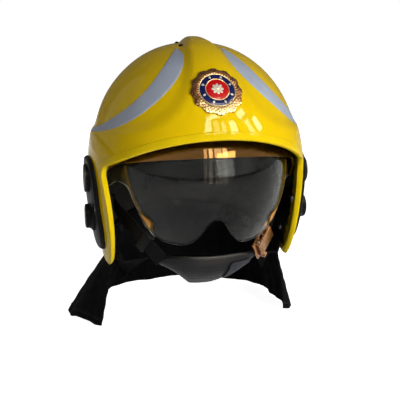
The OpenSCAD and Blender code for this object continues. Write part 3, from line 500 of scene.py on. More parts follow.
def finish(name, colour, rough=0.5, metal=0.0, drift=0.06, drift_size=0.02, grain=0.0, grain_size=0.001,
           rough_drift=0.08, height=None, **sockets):
    """Material with a colour that drifts, roughness that varies and a fine grain.
    Sizes are in metres on the object. height makes the grain's pattern, where it isn't plain noise."""
    mat = bpy.data.materials.new(name)
    mat.use_nodes = True
    tree = mat.node_tree
    shader = tree.nodes["Principled BSDF"]
    where = add(tree, "TexCoord").outputs["Object"]
    cloud = add(tree, "TexNoise", {"Vector": where, "Scale": 1 / drift_size, "Detail": 3.0}).outputs["Fac"]
    stops = [(0.3, shade(colour, 1 - drift)), (0.7, shade(colour, 1 + drift))]
    tree.links.new(ramp(tree, cloud, stops), shader.inputs["Base Color"])
    fine = add(tree, "TexNoise", {"Vector": where, "Scale": 6 / drift_size, "Detail": 4.0}).outputs["Fac"]
    spread = add(tree, "MapRange", {"Value": fine, "From Min": 0.3, "From Max": 0.7,
                                    "To Min": max(0.0, rough - rough_drift), "To Max": rough + rough_drift})
    tree.links.new(spread.outputs[0], shader.inputs["Roughness"])
    if grain or height:
        high = height(tree, where) if height else add(
            tree, "TexNoise", {"Vector": where, "Scale": 1 / grain_size, "Detail": 2.0}).outputs["Fac"]
        bump = add(tree, "Bump", {"Height": high, "Distance": grain or PLAIN_GRAIN, "Strength": 1.0})
        tree.links.new(bump.outputs["Normal"], shader.inputs["Normal"])
    shader.inputs["Metallic"].default_value = metal
    for key, value in sockets.items():
        shader.inputs[key.replace("_", " ")].default_value = value
    return mat


def weave_height(pitch, turn=0.0, ribs=1.0):
    """Over-and-under threads on the piece's own pattern map, in millimetres."""
    def height(tree, where):
        flat = add(tree, "UVMap", uv_map="Pattern").outputs["UV"]
        place = add(tree, "Mapping", {"Vector": flat, "Rotation": (0, 0, turn)}).outputs[0]
        scale = 1 / (WAVES_PER_UNIT * pitch)
        warp = add(tree, "TexWave", {"Vector": place, "Scale": scale}, bands_direction="X")
        weft = add(tree, "TexWave", {"Vector": place, "Scale": ribs * scale}, bands_direction="Y")
        both = {0: warp.outputs["Fac"], 1: weft.outputs["Fac"]}
        return add(tree, "Math", both, operation="MULTIPLY").outputs[0]
    return height


def cell_height(size):
    """Small round cells on the object, in metres."""
    def height(tree, where):
        return add(tree, "TexVoronoi", {"Vector": where, "Scale": 1 / size}).outputs["Distance"]
    return height


def clear_finish(name, colour, rough, metal, ior, passing):
    """Clear plastic that lets the lamps through."""
    mat = finish(name, colour, rough=rough, metal=metal, drift=0.01, rough_drift=0.0,
                 Transmission_Weight=1.0, IOR=ior)
    tree = mat.node_tree
    through = add(tree, "BsdfTransparent", {"Color": (*passing, 1)})
    mix = add(tree, "MixShader", {0: add(tree, "LightPath").outputs["Is Shadow Ray"],
                                  1: tree.nodes["Principled BSDF"].outputs[0], 2: through.outputs[0]})
    tree.links.new(mix.outputs[0], tree.nodes["Material Output"].inputs["Surface"])
    return mat


YELLOW = (0.90, 0.59, 0.002)
# Turn of a cloth that is cut across its threads, in radians
BIAS = 0.785
shell_paint = finish("Gloss yellow paint", YELLOW, rough=0.45, drift=0.035, drift_size=0.09, rough_drift=0.05,
                     Specular_IOR_Level=0.0, Coat_Weight=0.8, Coat_Roughness=0.025, Coat_IOR=1.22)
# Painted shade: the shell's yellow darkened for its inner side under the brow and at the flaps' fronts
shaded_yellow_inside = finish("Yellow paint in painted shade inside", shade(YELLOW, 0.55), rough=0.5, drift=0.08, drift_size=0.03,
                     grain=0.00006, grain_size=0.0014, Specular_IOR_Level=0.05)
# Painted shade: near black for the shell's inner side further in, where deep shade falls
deep_shade_inside = finish("Near black painted shade inside", (0.012, 0.011, 0.01), rough=0.7, drift=0.2, drift_size=0.03,
                    grain=0.0001, grain_size=0.0012, Specular_IOR_Level=0.15)
trim_rubber = finish("Yellow trim", (0.86, 0.6, 0.004), rough=0.45, drift=0.04, Specular_IOR_Level=0.0,
                     Coat_Weight=0.6, Coat_Roughness=0.06, Coat_IOR=1.22)
tape_silver = finish("Reflective tape", (0.43, 0.48, 0.58), rough=0.5, drift=0.06, drift_size=0.03,
                     height=cell_height(0.0024), grain=0.00008, Specular_IOR_Level=0.2)
black_plastic = finish("Black plastic", (0.0035, 0.0035, 0.004), rough=0.42, drift=0.25, grain=0.00006,
                       grain_size=0.0009, Specular_IOR_Level=0.1)
cap_plastic = finish("Brown-grey plastic", (0.03, 0.022, 0.019), rough=0.4, drift=0.15, grain=0.00005,
                     grain_size=0.0009, Specular_IOR_Level=0.25)
bronze = finish("Aged bronze", (0.17, 0.068, 0.022), rough=0.33, metal=0.7, drift=0.45, drift_size=0.004,
                grain=0.00012, grain_size=0.0012)
gold_metal = finish("Polished gold metal", (0.72, 0.52, 0.26), rough=0.3, metal=0.6, drift=0.2,
                    drift_size=0.005)
red_enamel = finish("Red enamel", (0.6, 0.004, 0.006), rough=0.3, drift=0.05, Specular_IOR_Level=0.1,
                    Coat_Weight=0.5, Coat_IOR=1.3)
blue_enamel = finish("Blue enamel", (0.006, 0.01, 0.09), rough=0.3, drift=0.08, Specular_IOR_Level=0.1,
                     Coat_Weight=0.5, Coat_IOR=1.3)
cream_enamel = finish("Cream enamel", (0.72, 0.66, 0.5), rough=0.3, drift=0.04, Specular_IOR_Level=0.2,
                      Coat_Weight=0.4)
steel = finish("Steel", (0.55, 0.55, 0.56), rough=0.28, metal=1.0, drift=0.08, drift_size=0.008)
dark_steel = finish("Blackened steel", (0.02, 0.02, 0.021), rough=0.5, metal=0.5, drift=0.1, drift_size=0.008,
                    Specular_IOR_Level=0.15)
brass = finish("Copper brass", (0.42, 0.2, 0.08), rough=0.26, metal=0.85, drift=0.25, drift_size=0.005,
               grain=0.00003, grain_size=0.0008)
nylon = finish("Aged nylon", (0.09, 0.085, 0.075), rough=0.5, drift=0.05, grain=0.00003,
               Specular_IOR_Level=0.1)
clear_visor = clear_finish("Clear visor", (0.96, 0.98, 0.95), 0.015, 0.0, 1.19, (0.9, 0.91, 0.88))
gold_visor = clear_finish("Gold visor", (0.86, 0.56, 0.24), 0.025, 0.16, 1.3, (0.62, 0.46, 0.22))
visor_edge = finish("Clear visor edge", (0.3, 0.31, 0.28), rough=0.3, drift=0.05, Specular_IOR_Level=0.2)
gold_edge = finish("Gold visor edge", (0.2, 0.1, 0.012), rough=0.3, drift=0.05, Specular_IOR_Level=0.2)
amber = finish("Amber strip", (0.11, 0.06, 0.004), rough=0.35, drift=0.12, Specular_IOR_Level=0.1)
bright_amber = finish("Amber tab", (0.62, 0.27, 0.05), rough=0.35, drift=0.15, drift_size=0.006,
                      Specular_IOR_Level=0.2)
foam = finish("Moulded foam", (0.0045, 0.0045, 0.005), rough=0.85, drift=0.2, height=cell_height(0.0042),
              grain=0.0002, Specular_IOR_Level=0.05)
padding = finish("Knitted cover", (0.0045, 0.0045, 0.005), rough=0.9, drift=0.2, height=cell_height(0.0016),
                 grain=0.00015, Specular_IOR_Level=0.05)
webbing = finish("Woven tape", (0.0025, 0.0025, 0.003), rough=0.65, drift=0.2,
                 height=weave_height(1.6, ribs=2.0), grain=0.0003, Specular_IOR_Level=0.1)
dark_webbing = finish("Woven tape end", (0.03, 0.032, 0.042), rough=0.6, drift=0.15,
                      height=weave_height(1.6, ribs=2.0), grain=0.0003, Specular_IOR_Level=0.2,
                      Sheen_Weight=0.05)
cup_cover = finish("Chin cup cover", (0.008, 0.008, 0.0095), rough=0.45, drift=0.18,
                   height=cell_height(0.0015), grain=0.00018, Specular_IOR_Level=0.3)
cloth = finish("Neck cloth", (0.0035, 0.0035, 0.0042), rough=0.9, drift=0.2, drift_size=0.05,
               height=weave_height(0.9, turn=BIAS), grain=0.0002, Specular_IOR_Level=0.06)
lining = finish("Neck lining", (0.005, 0.005, 0.006), rough=0.9, drift=0.2, height=weave_height(1.3),
                grain=0.0002, Specular_IOR_Level=0.06)
thread = finish("Sewing thread", (0.03, 0.03, 0.033), rough=0.6, drift=0.1, Specular_IOR_Level=0.2)


# Camera, floor and light, in metres
CAMERA_YAW, CAMERA_PITCH = math.radians(11.8), math.radians(13.7)
CAMERA_AT, CAMERA_LENS, CAMERA_SENSOR = (-0.1853, -0.9156, 0.1791), 72.457, 36
FLOOR_HALF, FLOOR_GAP = 6, 0.0005
# Middle of the face opening, which the window panes look at from a distance
FACE_SPOT, PANE_REACH = Vector((0, -0.13, 0.05)), 1.7
SOFTBOXES = (("Front right softbox", (0.75, -1.75, 0.42), (0.8, 0.8), 31),
             ("Left fill", (-1.7, -0.7, 0.5), (1.4, 1.4), 1.4),
             ("Rear fill", (-0.5, 1.8, 0.5), (1.6, 1.2), 9))
# Panes of two windows over the brow: angles round, angles up and strength
BROW_PANES = (((-13, 38), (53, 58), 40), ((-13, -2), (41, 51), 40), ((3, 13), (40, 50), 14),
              ((17, 25), (38, 48), 22), ((32, 44), (36, 46), 45),
              ((55, 72), (43, 49), 36), ((60, 68), (28, 40), 26), ((73, 81), (26, 37), 45))
SIDE_PANE = ((-150, -115), (0, 40), 0.4)
# Warm panes in the shields: angles round and strength, all between the same angles up
WARM_PANES = (((-7, -3), 2.4), ((0, 5), 4.2), ((8, 18), 2.6), ((20, 26), 4.2))
WARM_UP, WARM_WHITE, WINDOW_WHITE = (-8, 31), (1, 0.86, 0.64), (1, 0.93, 0.74)


def camera():
    """Camera in the place and at the angle that a fit to the photograph gave."""
    right = Vector((math.cos(CAMERA_YAW), -math.sin(CAMERA_YAW), 0))
    ahead = Vector((math.sin(CAMERA_YAW) * math.cos(CAMERA_PITCH),
                    math.cos(CAMERA_YAW) * math.cos(CAMERA_PITCH), -math.sin(CAMERA_PITCH)))
    up = right.cross(ahead)
    lens = bpy.data.cameras.new("Camera")
    lens.sensor_width, lens.lens = CAMERA_SENSOR, CAMERA_LENS
    cam = bpy.data.objects.new("Camera", lens)
    scene.collection.objects.link(cam)
    cam.location = CAMERA_AT
    cam.rotation_euler = Matrix((right, up, -ahead)).transposed().to_euler()
    scene.camera = cam


def lamp(name, at, towards, size, watts, colour=(1, 1, 1)):
    """Flat lamp that faces a place."""
    light = bpy.data.lights.new(name, "AREA")
    light.shape, light.size, light.size_y = "RECTANGLE", size[0], size[1]
    light.energy, light.color = watts, colour
    obj = bpy.data.objects.new(name, light)
    scene.collection.objects.link(obj)
    obj.location = at
    obj.rotation_euler = (Vector(towards) - Vector(at)).to_track_quat("-Z", "Y").to_euler()
    return obj


def pane(az, el, strength, colour=WINDOW_WHITE):
    """Window pane that only reflections see, between two angles round and two angles up."""
    mid_az, mid_el = math.radians(sum(az) / 2), math.radians(sum(el) / 2)
    way = Vector((math.sin(mid_az) * math.cos(mid_el), -math.cos(mid_az) * math.cos(mid_el),
                  math.sin(mid_el)))
    size = (PANE_REACH * math.cos(mid_el) * math.radians(az[1] - az[0]),
            PANE_REACH * math.radians(el[1] - el[0]))
    obj = lamp("Window pane", FACE_SPOT + PANE_REACH * way, FACE_SPOT, size,
               strength * math.pi * size[0] * size[1], colour)
    obj.visible_diffuse = False


def background_rays(tree, shown, mirrored, plain):
    """Strengths of the background: shown straight or through plastic, mirrored, and as plain light."""
    path = add(tree, "LightPath")
    seen = add(tree, "Math", {0: path.outputs["Is Camera Ray"], 1: path.outputs["Is Transmission Ray"]},
               operation="MAXIMUM")
    seen = add(tree, "Math", {0: seen.outputs[0], 1: shown}, operation="MULTIPLY")
    both = add(tree, "Math", {0: path.outputs["Is Glossy Ray"], 1: mirrored, 2: seen.outputs[0]},
               operation="MULTIPLY_ADD")
    return add(tree, "Math", {0: both.outputs[0], 1: plain}, operation="MAXIMUM").outputs[0]


def floor():
    """White floor, brighter straight on than in mirrors."""
    bm = bmesh.new()
    bmesh.ops.create_grid(bm, x_segments=1, y_segments=1, size=FLOOR_HALF)
    mesh = bpy.data.meshes.new("Floor")
    bm.to_mesh(mesh)
    bm.free()
    mesh.transform(Matrix.Translation((0, 0, cad_box[0].z - FLOOR_GAP)))
    obj = bpy.data.objects.new("Floor", mesh)
    scene.collection.objects.link(obj)
    mat = finish("Floor paint", (0.88, 0.88, 0.88), rough=0.9, drift=0.004, drift_size=0.4, rough_drift=0.02)
    mesh.materials.append(mat)
    tree = mat.node_tree
    strength = background_rays(tree, shown=0.95, mirrored=0.32, plain=0.0)
    white = add(tree, "Emission", {"Color": (1, 1, 1, 1), "Strength": strength})
    both = add(tree, "AddShader", {0: tree.nodes["Principled BSDF"].outputs[0], 1: white.outputs[0]})
    tree.links.new(both.outputs[0], tree.nodes["Material Output"].inputs["Surface"])


def room():
    """White surroundings, bright straight on, dim in mirrors and as light."""
    world = bpy.data.worlds.new("Room")
    scene.world = world
    world.use_nodes = True
    tree = world.node_tree
    background = tree.nodes["Background"]
    background.inputs["Color"].default_value = (1, 1, 1, 1)
    strength = background_rays(tree, shown=1.0, mirrored=0.04, plain=0.13)
    tree.links.new(strength, background.inputs["Strength"])


def lights():
    for name, at, size, watts in SOFTBOXES:
        lamp(name, at, (0, 0, 0), size, watts).visible_glossy = False
    for az, el, strength in BROW_PANES:
        pane(az, el, strength)
    pane(*SIDE_PANE)
    for az, strength in WARM_PANES:
        pane(az, WARM_UP, strength, WARM_WHITE)


camera()
floor()
room()
lights()


# Shell, trim and bands
SHELL_COLS, OUT_ROWS, IN_ROWS = 420, 132, 40
# The darkened yellow paint, a painted shade, runs in under the brow up to here, and the near-black painted
# shade further in starts
SHADED_PAINT_END_Y = -26
VENT_YS, VENT_TURN, VENT_SLOT = (-14, 12), math.radians(40), (4.4, 12.4, 16)
# A band's middle line, its half width at the ends and how far it swells between them
BAND_LINE = np.array([[32.5, -33.5, 160.7], [35.5, -81.2, 151.7], [45.4, -102.4, 25], [89, 14, 29.1]])
BAND_END, BAND_SWELL, BAND_T = 0.5, 12.5, 0.3


def outer_shell():
    """Closed shell with its vents cut: paint outside, and inside painted shade, a darker copy of the paint
    under the brow and near black further in.
    """
    rows = OUT_ROWS + IN_ROWS + 1

    def place(u, v):
        e = edge_dir(u)
        k = v * rows
        outside = k <= OUT_ROWS + 0.01
        t = np.where(outside, k / OUT_ROWS, np.clip((rows - k) / IN_ROWS, 0, 1))
        d = along_arc(e, np.clip(t, 0, 1))
        return np.where(outside[:, None], on_shell(d, 0.0), on_egg(d, -WALL))
    bm = grid(SHELL_COLS, rows, place, around=True)
    bmesh.ops.recalc_face_normals(bm, faces=bm.faces)
    # Inner faces get painted shade: darkened yellow towards the front, near black further back
    for face in bm.faces:
        mid = np.array(face.calc_center_median()) - CENTRE
        if np.linalg.norm(mid) < egg_reach(unit(mid), -WALL / 2):
            face.material_index = 1 if mid[1] < SHADED_PAINT_END_Y else 2
    openings = [moved(block(VENT_SLOT), *vent_place(y, -2)) for y in VENT_YS]
    return cut(bm, mirrored_too(joined(openings)))


def vent_place(y, lift):
    """Turn and place of a vent on the crest's flank."""
    d = unit(np.array([CREST_HALF_W + 2, y - EGG_Y, UP - 4]))
    turn = Matrix.Rotation(VENT_TURN, 3, "Y")
    at = Vector(on_shell(d, 0.6)) + turn @ Vector((0, 0, lift))
    return turn, at


def edge_trim():
    """Trim folded over the shell's edge: up its outer side, round below it and up its inner side."""
    flank = [(TRIM_H, 0.0), (TRIM_H, 0.6 * TRIM_T), (TRIM_H - 0.4, 0.9 * TRIM_T)]
    flank += [(h, TRIM_T) for h in (5.8, 3.5, 1.2, 0)]
    section = [(1, h, off) for h, off in flank]
    section += [(0, math.pi * k / 8, 0) for k in range(1, 8)]
    section += [(-1, h, off) for h, off in reversed(flank)]

    def place(u, v):
        e = edge_dir(u)
        k = np.rint(v * len(section)).astype(int) % len(section)
        outer, inner = on_shell(e, 0.0), on_egg(e, np.full(len(u), -WALL))
        out = unit(outer - inner)
        down = unit(outer - on_shell(along_arc(e, arc_share(e, TRIM_H)), 0.0))
        wide = np.linalg.norm(outer - inner, axis=1, keepdims=True) / 2 + TRIM_T
        result = np.zeros((len(u), 3))
        for i, (side, h, off) in enumerate(section):
            m = k == i
            if side:
                d = along_arc(e[m], arc_share(e[m], h))
                base = on_shell(d, 0.0) if side > 0 else on_egg(d, np.full(m.sum(), -WALL))
                result[m] = base + out[m] * side * off
            else:
                mid = (outer[m] + inner[m]) / 2
                result[m] = mid + out[m] * wide[m] * math.cos(h) + down[m] * TRIM_UNDER * math.sin(h)
        return result
    bm = grid(SHELL_COLS, len(section), place, around=True)
    bmesh.ops.recalc_face_normals(bm, faces=bm.faces)
    return bm


def reflective_bands():
    """Bands that lie on the side panels, pointed at both ends, their rims rounded down."""
    def middle(s):
        return on_shell(unit(curve4(*BAND_LINE, s[:, None]) - CENTRE), 0.0)

    def place(u, v):
        s = np.clip(u, 0, 1)
        p = middle(s)
        ahead = middle(np.minimum(s + 0.01, 1)) - middle(np.maximum(s - 0.01, 0))
        side = unit(np.cross(unit(ahead), unit(p - CENTRE)))
        half = BAND_END + BAND_SWELL * np.sin(np.radians(7 + 166 * s)) ** 1.2
        ends = np.sqrt(np.clip(1 - np.maximum(0, np.abs(s - 0.5) - 0.47) ** 2 / 0.03 ** 2, 0.0, 1))
        d = unit(p + side * (half * ends * (2 * v - 1))[:, None] - CENTRE)
        rim = np.minimum(1, (1 - np.abs(2 * v - 1)) * half / 0.5) * np.minimum(1, np.minimum(s, 1 - s) / 0.01)
        return on_shell(d, 0.15 + 0.4 * np.sqrt(rim))
    return mirrored_too(walled(faced(grid(140, 18, place), (0, 0, 0)), BAND_T))


piece("shell", outer_shell(), [shell_paint, shaded_yellow_inside, deep_shade_inside], "outer_shell",
      crease=50)
piece("shell_trim", edge_trim(), trim_rubber, "edge_trim", crease=60)
piece("bands", reflective_bands(), tape_silver, "reflective_bands", crease=60)


# Shields
# Outlines from the side, as places (y, z): rear end of the arm first, then round by the front
EYE_OUTLINE = [(9, -1), (-14, 4), (-40, 22), (-64, 58), (-134, 58), (-134, -81.5), (-83, -81.5), (-80, -38),
               (-71, -12), (-52, -9), (-22, -22), (-6, -23)]
FACE_OUTLINE = [(12, -14), (-10, -24), (-38, 0), (-58, 10), (-141, 29.5), (-141, 141),
                (-20, 141), (-18, 96), (2, 44), (12, 2)]
OUTLINE_R = 8
# The eye shield's lower edge, seen from the front: nose arch, lowest level and side
NOSE_Z, EYE_LOW_Z, EYE_SIDE_X = -42.0, -73.5, 118.0
# A face counts as one of a shield's swept sides above this cosine to the dome's normal
SWEPT_COS = 0.985
# Tools that cut the shields: half lengths of side blocks, and the run of the block below the lower edge
PRISM_REACH, DISC_REACH, UNDER_FROM_Y, UNDER_LONG = 140.0, 139.0, -30, 130


def rounded(points, r, n=6):
    """Outline whose corners are rounded by curves that start r before them."""
    pts = [np.array(p, float) for p in points]
    out = []
    for i, p in enumerate(pts):
        q, o = pts[(i + 1) % len(pts)], pts[i - 1]
        a = p + unit(o - p) * min(r, np.linalg.norm(o - p) / 2.1)
        b = p + unit(q - p) * min(r, np.linalg.norm(q - p) / 2.1)
        out += [curve3(a, p, b, k / n) for k in range(n + 1)]
    return out


def dome(half_w, radius, wall, rows=72, steps=180):
    """Closed wall of revolution about the hinge axis."""
    shells = []
    arc = [math.radians(90 - 180 * k / rows) for k in range(rows + 1)]
    for inset in (0, wall):
        half, r = half_w - inset, radius - inset
        bm = turned([(half * math.sin(a), max(0.0, r * math.cos(a))) for a in arc], steps)
        if inset:
            bmesh.ops.reverse_faces(bm, faces=bm.faces)
        shells.append(bm)
    return moved(joined(shells), to=(0, HINGE_Y, HINGE_Z))


def side_prism(outline, reach=PRISM_REACH):
    """Block through the helmet from an outline of places along Y and Z."""
    bm = plate(outline, 2 * reach)
    turn = Matrix(((0, 0, 1), (1, 0, 0), (0, 1, 0)))
    return moved(bm, turn, (-reach, 0, 0))


def disc(r, steps=64):
    """Round block about the hinge axis, a little shorter than a prism."""
    angles = [2 * math.pi * k / steps for k in range(steps)]
    return side_prism([(HINGE_Y + r * math.cos(a), HINGE_Z + r * math.sin(a)) for a in angles], DISC_REACH)


def shield(outline, half_w, radius, wall):
    """Part of a dome's wall within an outline, with round arm ends about the hinge axis."""
    body = cut(side_prism(rounded(outline, OUTLINE_R)), disc(ARM_R), "UNION")
    return cut(dome(half_w, radius, wall), body, "INTERSECT")


def eye_low_edge():
    """Right half of the eye shield's lower edge, from the nose arch to the side, as places (x, z)."""
    low = EYE_LOW_Z
    half = []
    for curve, steps, points in (
            (curve4, 20, [(0, NOSE_Z), (14, NOSE_Z), (15, low), (36, low)]),
            (curve3, 10, [(36, low), (58, low), (67, low + 13)]),
            (curve3, 8, [(67, low + 13), (74, low + 27), (EYE_SIDE_X, low + 33)])):
        half += [curve(*np.array(points, float), k / steps) for k in range(1 if half else 0, steps + 1)]
    return half


def eye_shield():
    half = eye_low_edge()
    below = EYE_LOW_Z - 30
    corners = [np.array([EYE_SIDE_X, below]), np.array([-EYE_SIDE_X, below])]
    outline = half + corners + [p * [-1, 1] for p in half[:0:-1]]
    under = plate([tuple(p) for p in outline], UNDER_LONG)
    under = moved(under, Matrix.Rotation(math.radians(90), 3, "X"), (0, UNDER_FROM_Y, 0))
    return cut(cut(shield(EYE_OUTLINE, EYE_HALF_W, EYE_R, EYE_WALL), under), disc(HUB_R))


def face_shield():
    return cut(shield(FACE_OUTLINE, FACE_HALF_W, FACE_R, FACE_WALL), disc(HUB_R))


def true_normals(obj, half_w, radius):
    """Gives the faces of a shield's two swept sides the dome's own normals."""
    mesh = obj.data
    at = np.array([v.co for v in mesh.vertices]) / MM - [0, HINGE_Y, HINGE_Z]
    slope = unit(at / np.array([half_w, radius, radius]) ** 2)
    normals = []
    for poly in mesh.polygons:
        flat = np.array(poly.normal)
        swept_side = abs(flat @ unit(slope[list(poly.vertices)].sum(0))) > SWEPT_COS
        poly.material_index = 0 if swept_side else 1
        for v in poly.vertices:
            normals.append(slope[v] * np.sign(flat @ slope[v]) if swept_side else flat)
    mesh.normals_split_custom_set(normals)


eye_visor = piece("eye_visor", eye_shield(), [clear_visor, visor_edge], "eye_shield",
                  crease=25)
true_normals(eye_visor, EYE_HALF_W, EYE_R)
face_visor = piece("face_visor", face_shield(), [gold_visor, gold_edge], "face_shield",
                   crease=25)
true_normals(face_visor, FACE_HALF_W, FACE_R)


# Vents and badge
SLAT_YS, SLAT_TURN = (-3.4, 0, 3.4), math.radians(38)
# The badge's radius, how much taller than wide it is, and the height at which its pieces start
BADGE_R, BADGE_TALL, BADGE_FOOT = 28.0, 1.08, 0.4
# The leafy rim: where it starts, how wide it is, and its lobes, leaves and rows of leaves
RIM_R, RIM_W, BADGE_LOBES, BADGE_LEAVES, LEAF_ROWS = 20.0, 8.0, 12, 40, 3
BADGE_D = unit(np.array([0, -127.0, 97.0]))
BADGE_UP = unit(np.cross(BADGE_D, np.array([1.0, 0, 0])))
BADGE_MID = on_shell(BADGE_D[None], 0.0)[0]
BEADS, BEAD_RING_R, BEAD_R = 44, 19.7, 0.75


def vents():
    """Framed inserts with slanted slats, in the slots of the crest's flanks."""
    parts = []
    for y in VENT_YS:
        insert = cut(block((4, 12, 5), 0.45), moved(block((2.5, 10.5, 3)), to=(0, 0, 1.7)))
        slats = [moved(block((2.8, 0.7, 2.4), 0.15), Matrix.Rotation(SLAT_TURN, 3, "X"), (0, s, 1.15))
                 for s in SLAT_YS]
        parts.append(moved(joined([insert] + slats), *vent_place(y, -2.5)))
    return mirrored_too(joined(parts))


def on_badge(x, y, t):
    """Place on the badge: across and up from its middle, and height over the shell."""
    flat = BADGE_MID + x[:, None] * np.array([1.0, 0, 0]) + (y * BADGE_TALL)[:, None] * BADGE_UP
    return on_shell(unit(flat - CENTRE), t)


def badge_ring(profile, shape=None, cols=240):
    """Ring or disc about the badge's middle through pairs of radius and height."""
    line = np.array(profile, float)
    last = len(line) - 1

    def place(u, v):
        k, a = np.rint(v * last).astype(int), 2 * np.pi * u
        r, t = line[k, 0], line[k, 1]
        if shape:
            r, t = shape(a, r, t)
        return on_badge(r * np.cos(a), r * np.sin(a), t)
    return closed(grid(cols, last, place, around=True))


def leaf_height(a, r):
    """Rows of small leaves lying over one another like scales, from 0 to 1."""
    at = np.clip((r - RIM_R) / RIM_W, 0, 0.999) * LEAF_ROWS
    row = np.floor(at)
    across = np.abs(np.sin(BADGE_LEAVES / 2 * a + row * np.pi / 2))
    return (at - row) ** 0.7 * np.clip(across * 1.5 - (at - row) ** 3 * 0.9, 0, 1)


def leafy(a, r, t):
    """The rim's lobes, with its rows of leaves on the upper side."""
    share, dip = np.clip((r - RIM_R) / RIM_W, 0, 1), np.sin(BADGE_LOBES / 2 * a) ** 2
    swell = np.sin(np.pi * np.clip(share * 0.9 + 0.08, 0, 1)) ** 0.6
    top = (t > 1.2) * (0.45 * swell * (1 - dip ** 1.4) + 0.5 * leaf_height(a, r))
    return r * (1 - 0.07 * dip * smooth(share)), t + top


def badge_rim():
    """Rim with leaves, gold on their high ends, bronze elsewhere, and gold all over low on the badge as a
    painted highlight.
    """
    steps = 12 * LEAF_ROWS
    rise = [(RIM_R + 7.6 * k / steps, 2.2 - 0.5 * (k / steps) ** 2) for k in range(steps + 1)]
    foot = (RIM_R - 1, BADGE_FOOT)
    profile = [foot] + rise + [(27.8, 1.4), (BADGE_R, 1.0), (BADGE_R, BADGE_FOOT), foot]
    bm = badge_ring(profile, leafy, cols=720)
    for face in bm.faces:
        at = Vector(face.calc_center_median()) - Vector(BADGE_MID)
        x, y = at.x, at.dot(Vector(BADGE_UP)) / BADGE_TALL
        angle = math.atan2(y, x)
        # Painted highlight: low on the badge, where the light falls, the threshold drops so the leaves are
        # gold all over
        low = max(0.0, -math.sin(angle))
        high = leaf_height(np.float64(angle), np.float64(math.hypot(x, y)))
        face.material_index = int(high > 0.86 - 0.75 * smooth((low - 0.35) / 0.4))
    return bm


def badge_beads():
    bm = bmesh.new()
    for k in range(BEADS):
        a = 2 * math.pi * k / BEADS
        at = on_badge(np.array([BEAD_RING_R * math.cos(a)]), np.array([BEAD_RING_R * math.sin(a)]), 2.45)[0]
        bmesh.ops.create_uvsphere(bm, u_segments=10, v_segments=6, radius=BEAD_R,
                                  matrix=Matrix.Translation(at))
    return bm


def blue_ring():
    return badge_ring([(12.3, BADGE_FOOT), (12.3, 2.3), (13.4, 2.55), (15.3, 2.65), (17.2, 2.55), (18.3, 2.3),
                       (18.3, BADGE_FOOT), (12.3, BADGE_FOOT)])


def ring_borders():
    return joined([badge_ring([(r, BADGE_FOOT), (r, 2.7), (r + 0.25, 2.95), (r + 0.55, 2.95), (r + 0.8, 2.7),
                               (r + 0.8, BADGE_FOOT), (r, BADGE_FOOT)]) for r in (11.6, 18.2)])


def badge_diamonds():
    parts = []
    for k in range(8):
        a = math.radians(22.5 + 45 * k)
        bm = plate([(1.9, 0), (0, 1.3), (-1.9, 0), (0, -1.3)], 0.6, 0.18)
        parts.append(moved(bm, Matrix.Rotation(a, 3, "Z"), (15.3 * math.cos(a), 15.3 * math.sin(a), 2.5)))
    return mapped(joined(parts), on_badge)


def red_disc():
    return badge_ring([(0, 3.0), (4, 2.97), (8, 2.85), (10.8, 2.65), (11.7, 2.45), (11.7, BADGE_FOOT),
                       (0, BADGE_FOOT)])


def eight_petals(a, r, t):
    return r * (0.55 + 0.45 * np.abs(np.cos(4 * a)) ** 0.7), t


def flower():
    return badge_ring([(0, 3.4), (3, 3.4), (5.4, 3.35), (6.2, 3.1), (6.2, 2.6), (0, 2.6)], eight_petals)


def flower_stud():
    return badge_ring([(0, 3.7), (0.8, 3.62), (1.3, 3.3), (1.3, 3.0), (0, 3.0)], cols=32)


piece("vent_inserts", vents(), black_plastic, "crest_vents")
for name, bm, mats in (("badge_rim", badge_rim(), [bronze, gold_metal]),
                       ("badge_beading", badge_beads(), gold_metal),
                       ("badge_blue_ring", blue_ring(), blue_enamel),
                       ("badge_borders", ring_borders(), gold_metal),
                       ("badge_diamonds", badge_diamonds(), cream_enamel),
                       ("badge_centre", red_disc(), red_enamel),
                       ("badge_flower", flower(), cream_enamel),
                       ("badge_stud", flower_stud(), gold_metal)):
    piece(name, bm, mats, "front_badge", crease=50)


# Side plates and their fittings
PLATE_MID, PLATE_HALF, PLATE_T, PLATE_SQUARE = np.array([-5.0, -44.0]), (37.0, 54.0), 5.0, 3.0
# Places in the side view, as (y, z)
CAP_YZ, LUG_YZ, SCREW_YZ = (-10, -14), (-12, -58), ((-34, -44), (24, -34), (2, -88))
LUG_REACH, INSERT_R, INSERT_DEEP, PIN_ROOM_R = 131.5, 3.0, 8.0, 4.2
SCREW_SUNK, NUT_T = 2.4, 1.9
PLATE_FACE = float(side_x(HINGE_Y, HINGE_Z, BROW_RISE)) + PLATE_T + 0.2
# The plate's rim: share of the way out from the middle, and height over the shell
PLATE_RIM = np.array([(0, 0.35), (0.4, 0.35), (0.8, 0.35), (0.99, 0.35), (1, 0.7), (0.998, 1.7), (0.991, 3),
                      (0.976, 4.05), (0.954, 4.75), (0.925, 5), (0.885, 5), (0.875, 4.85), (0.867, 4.5),
                      (0.858, 4.5), (0.85, 4.85), (0.84, 5), (0.6, 5), (0.3, 5), (0, 5)])
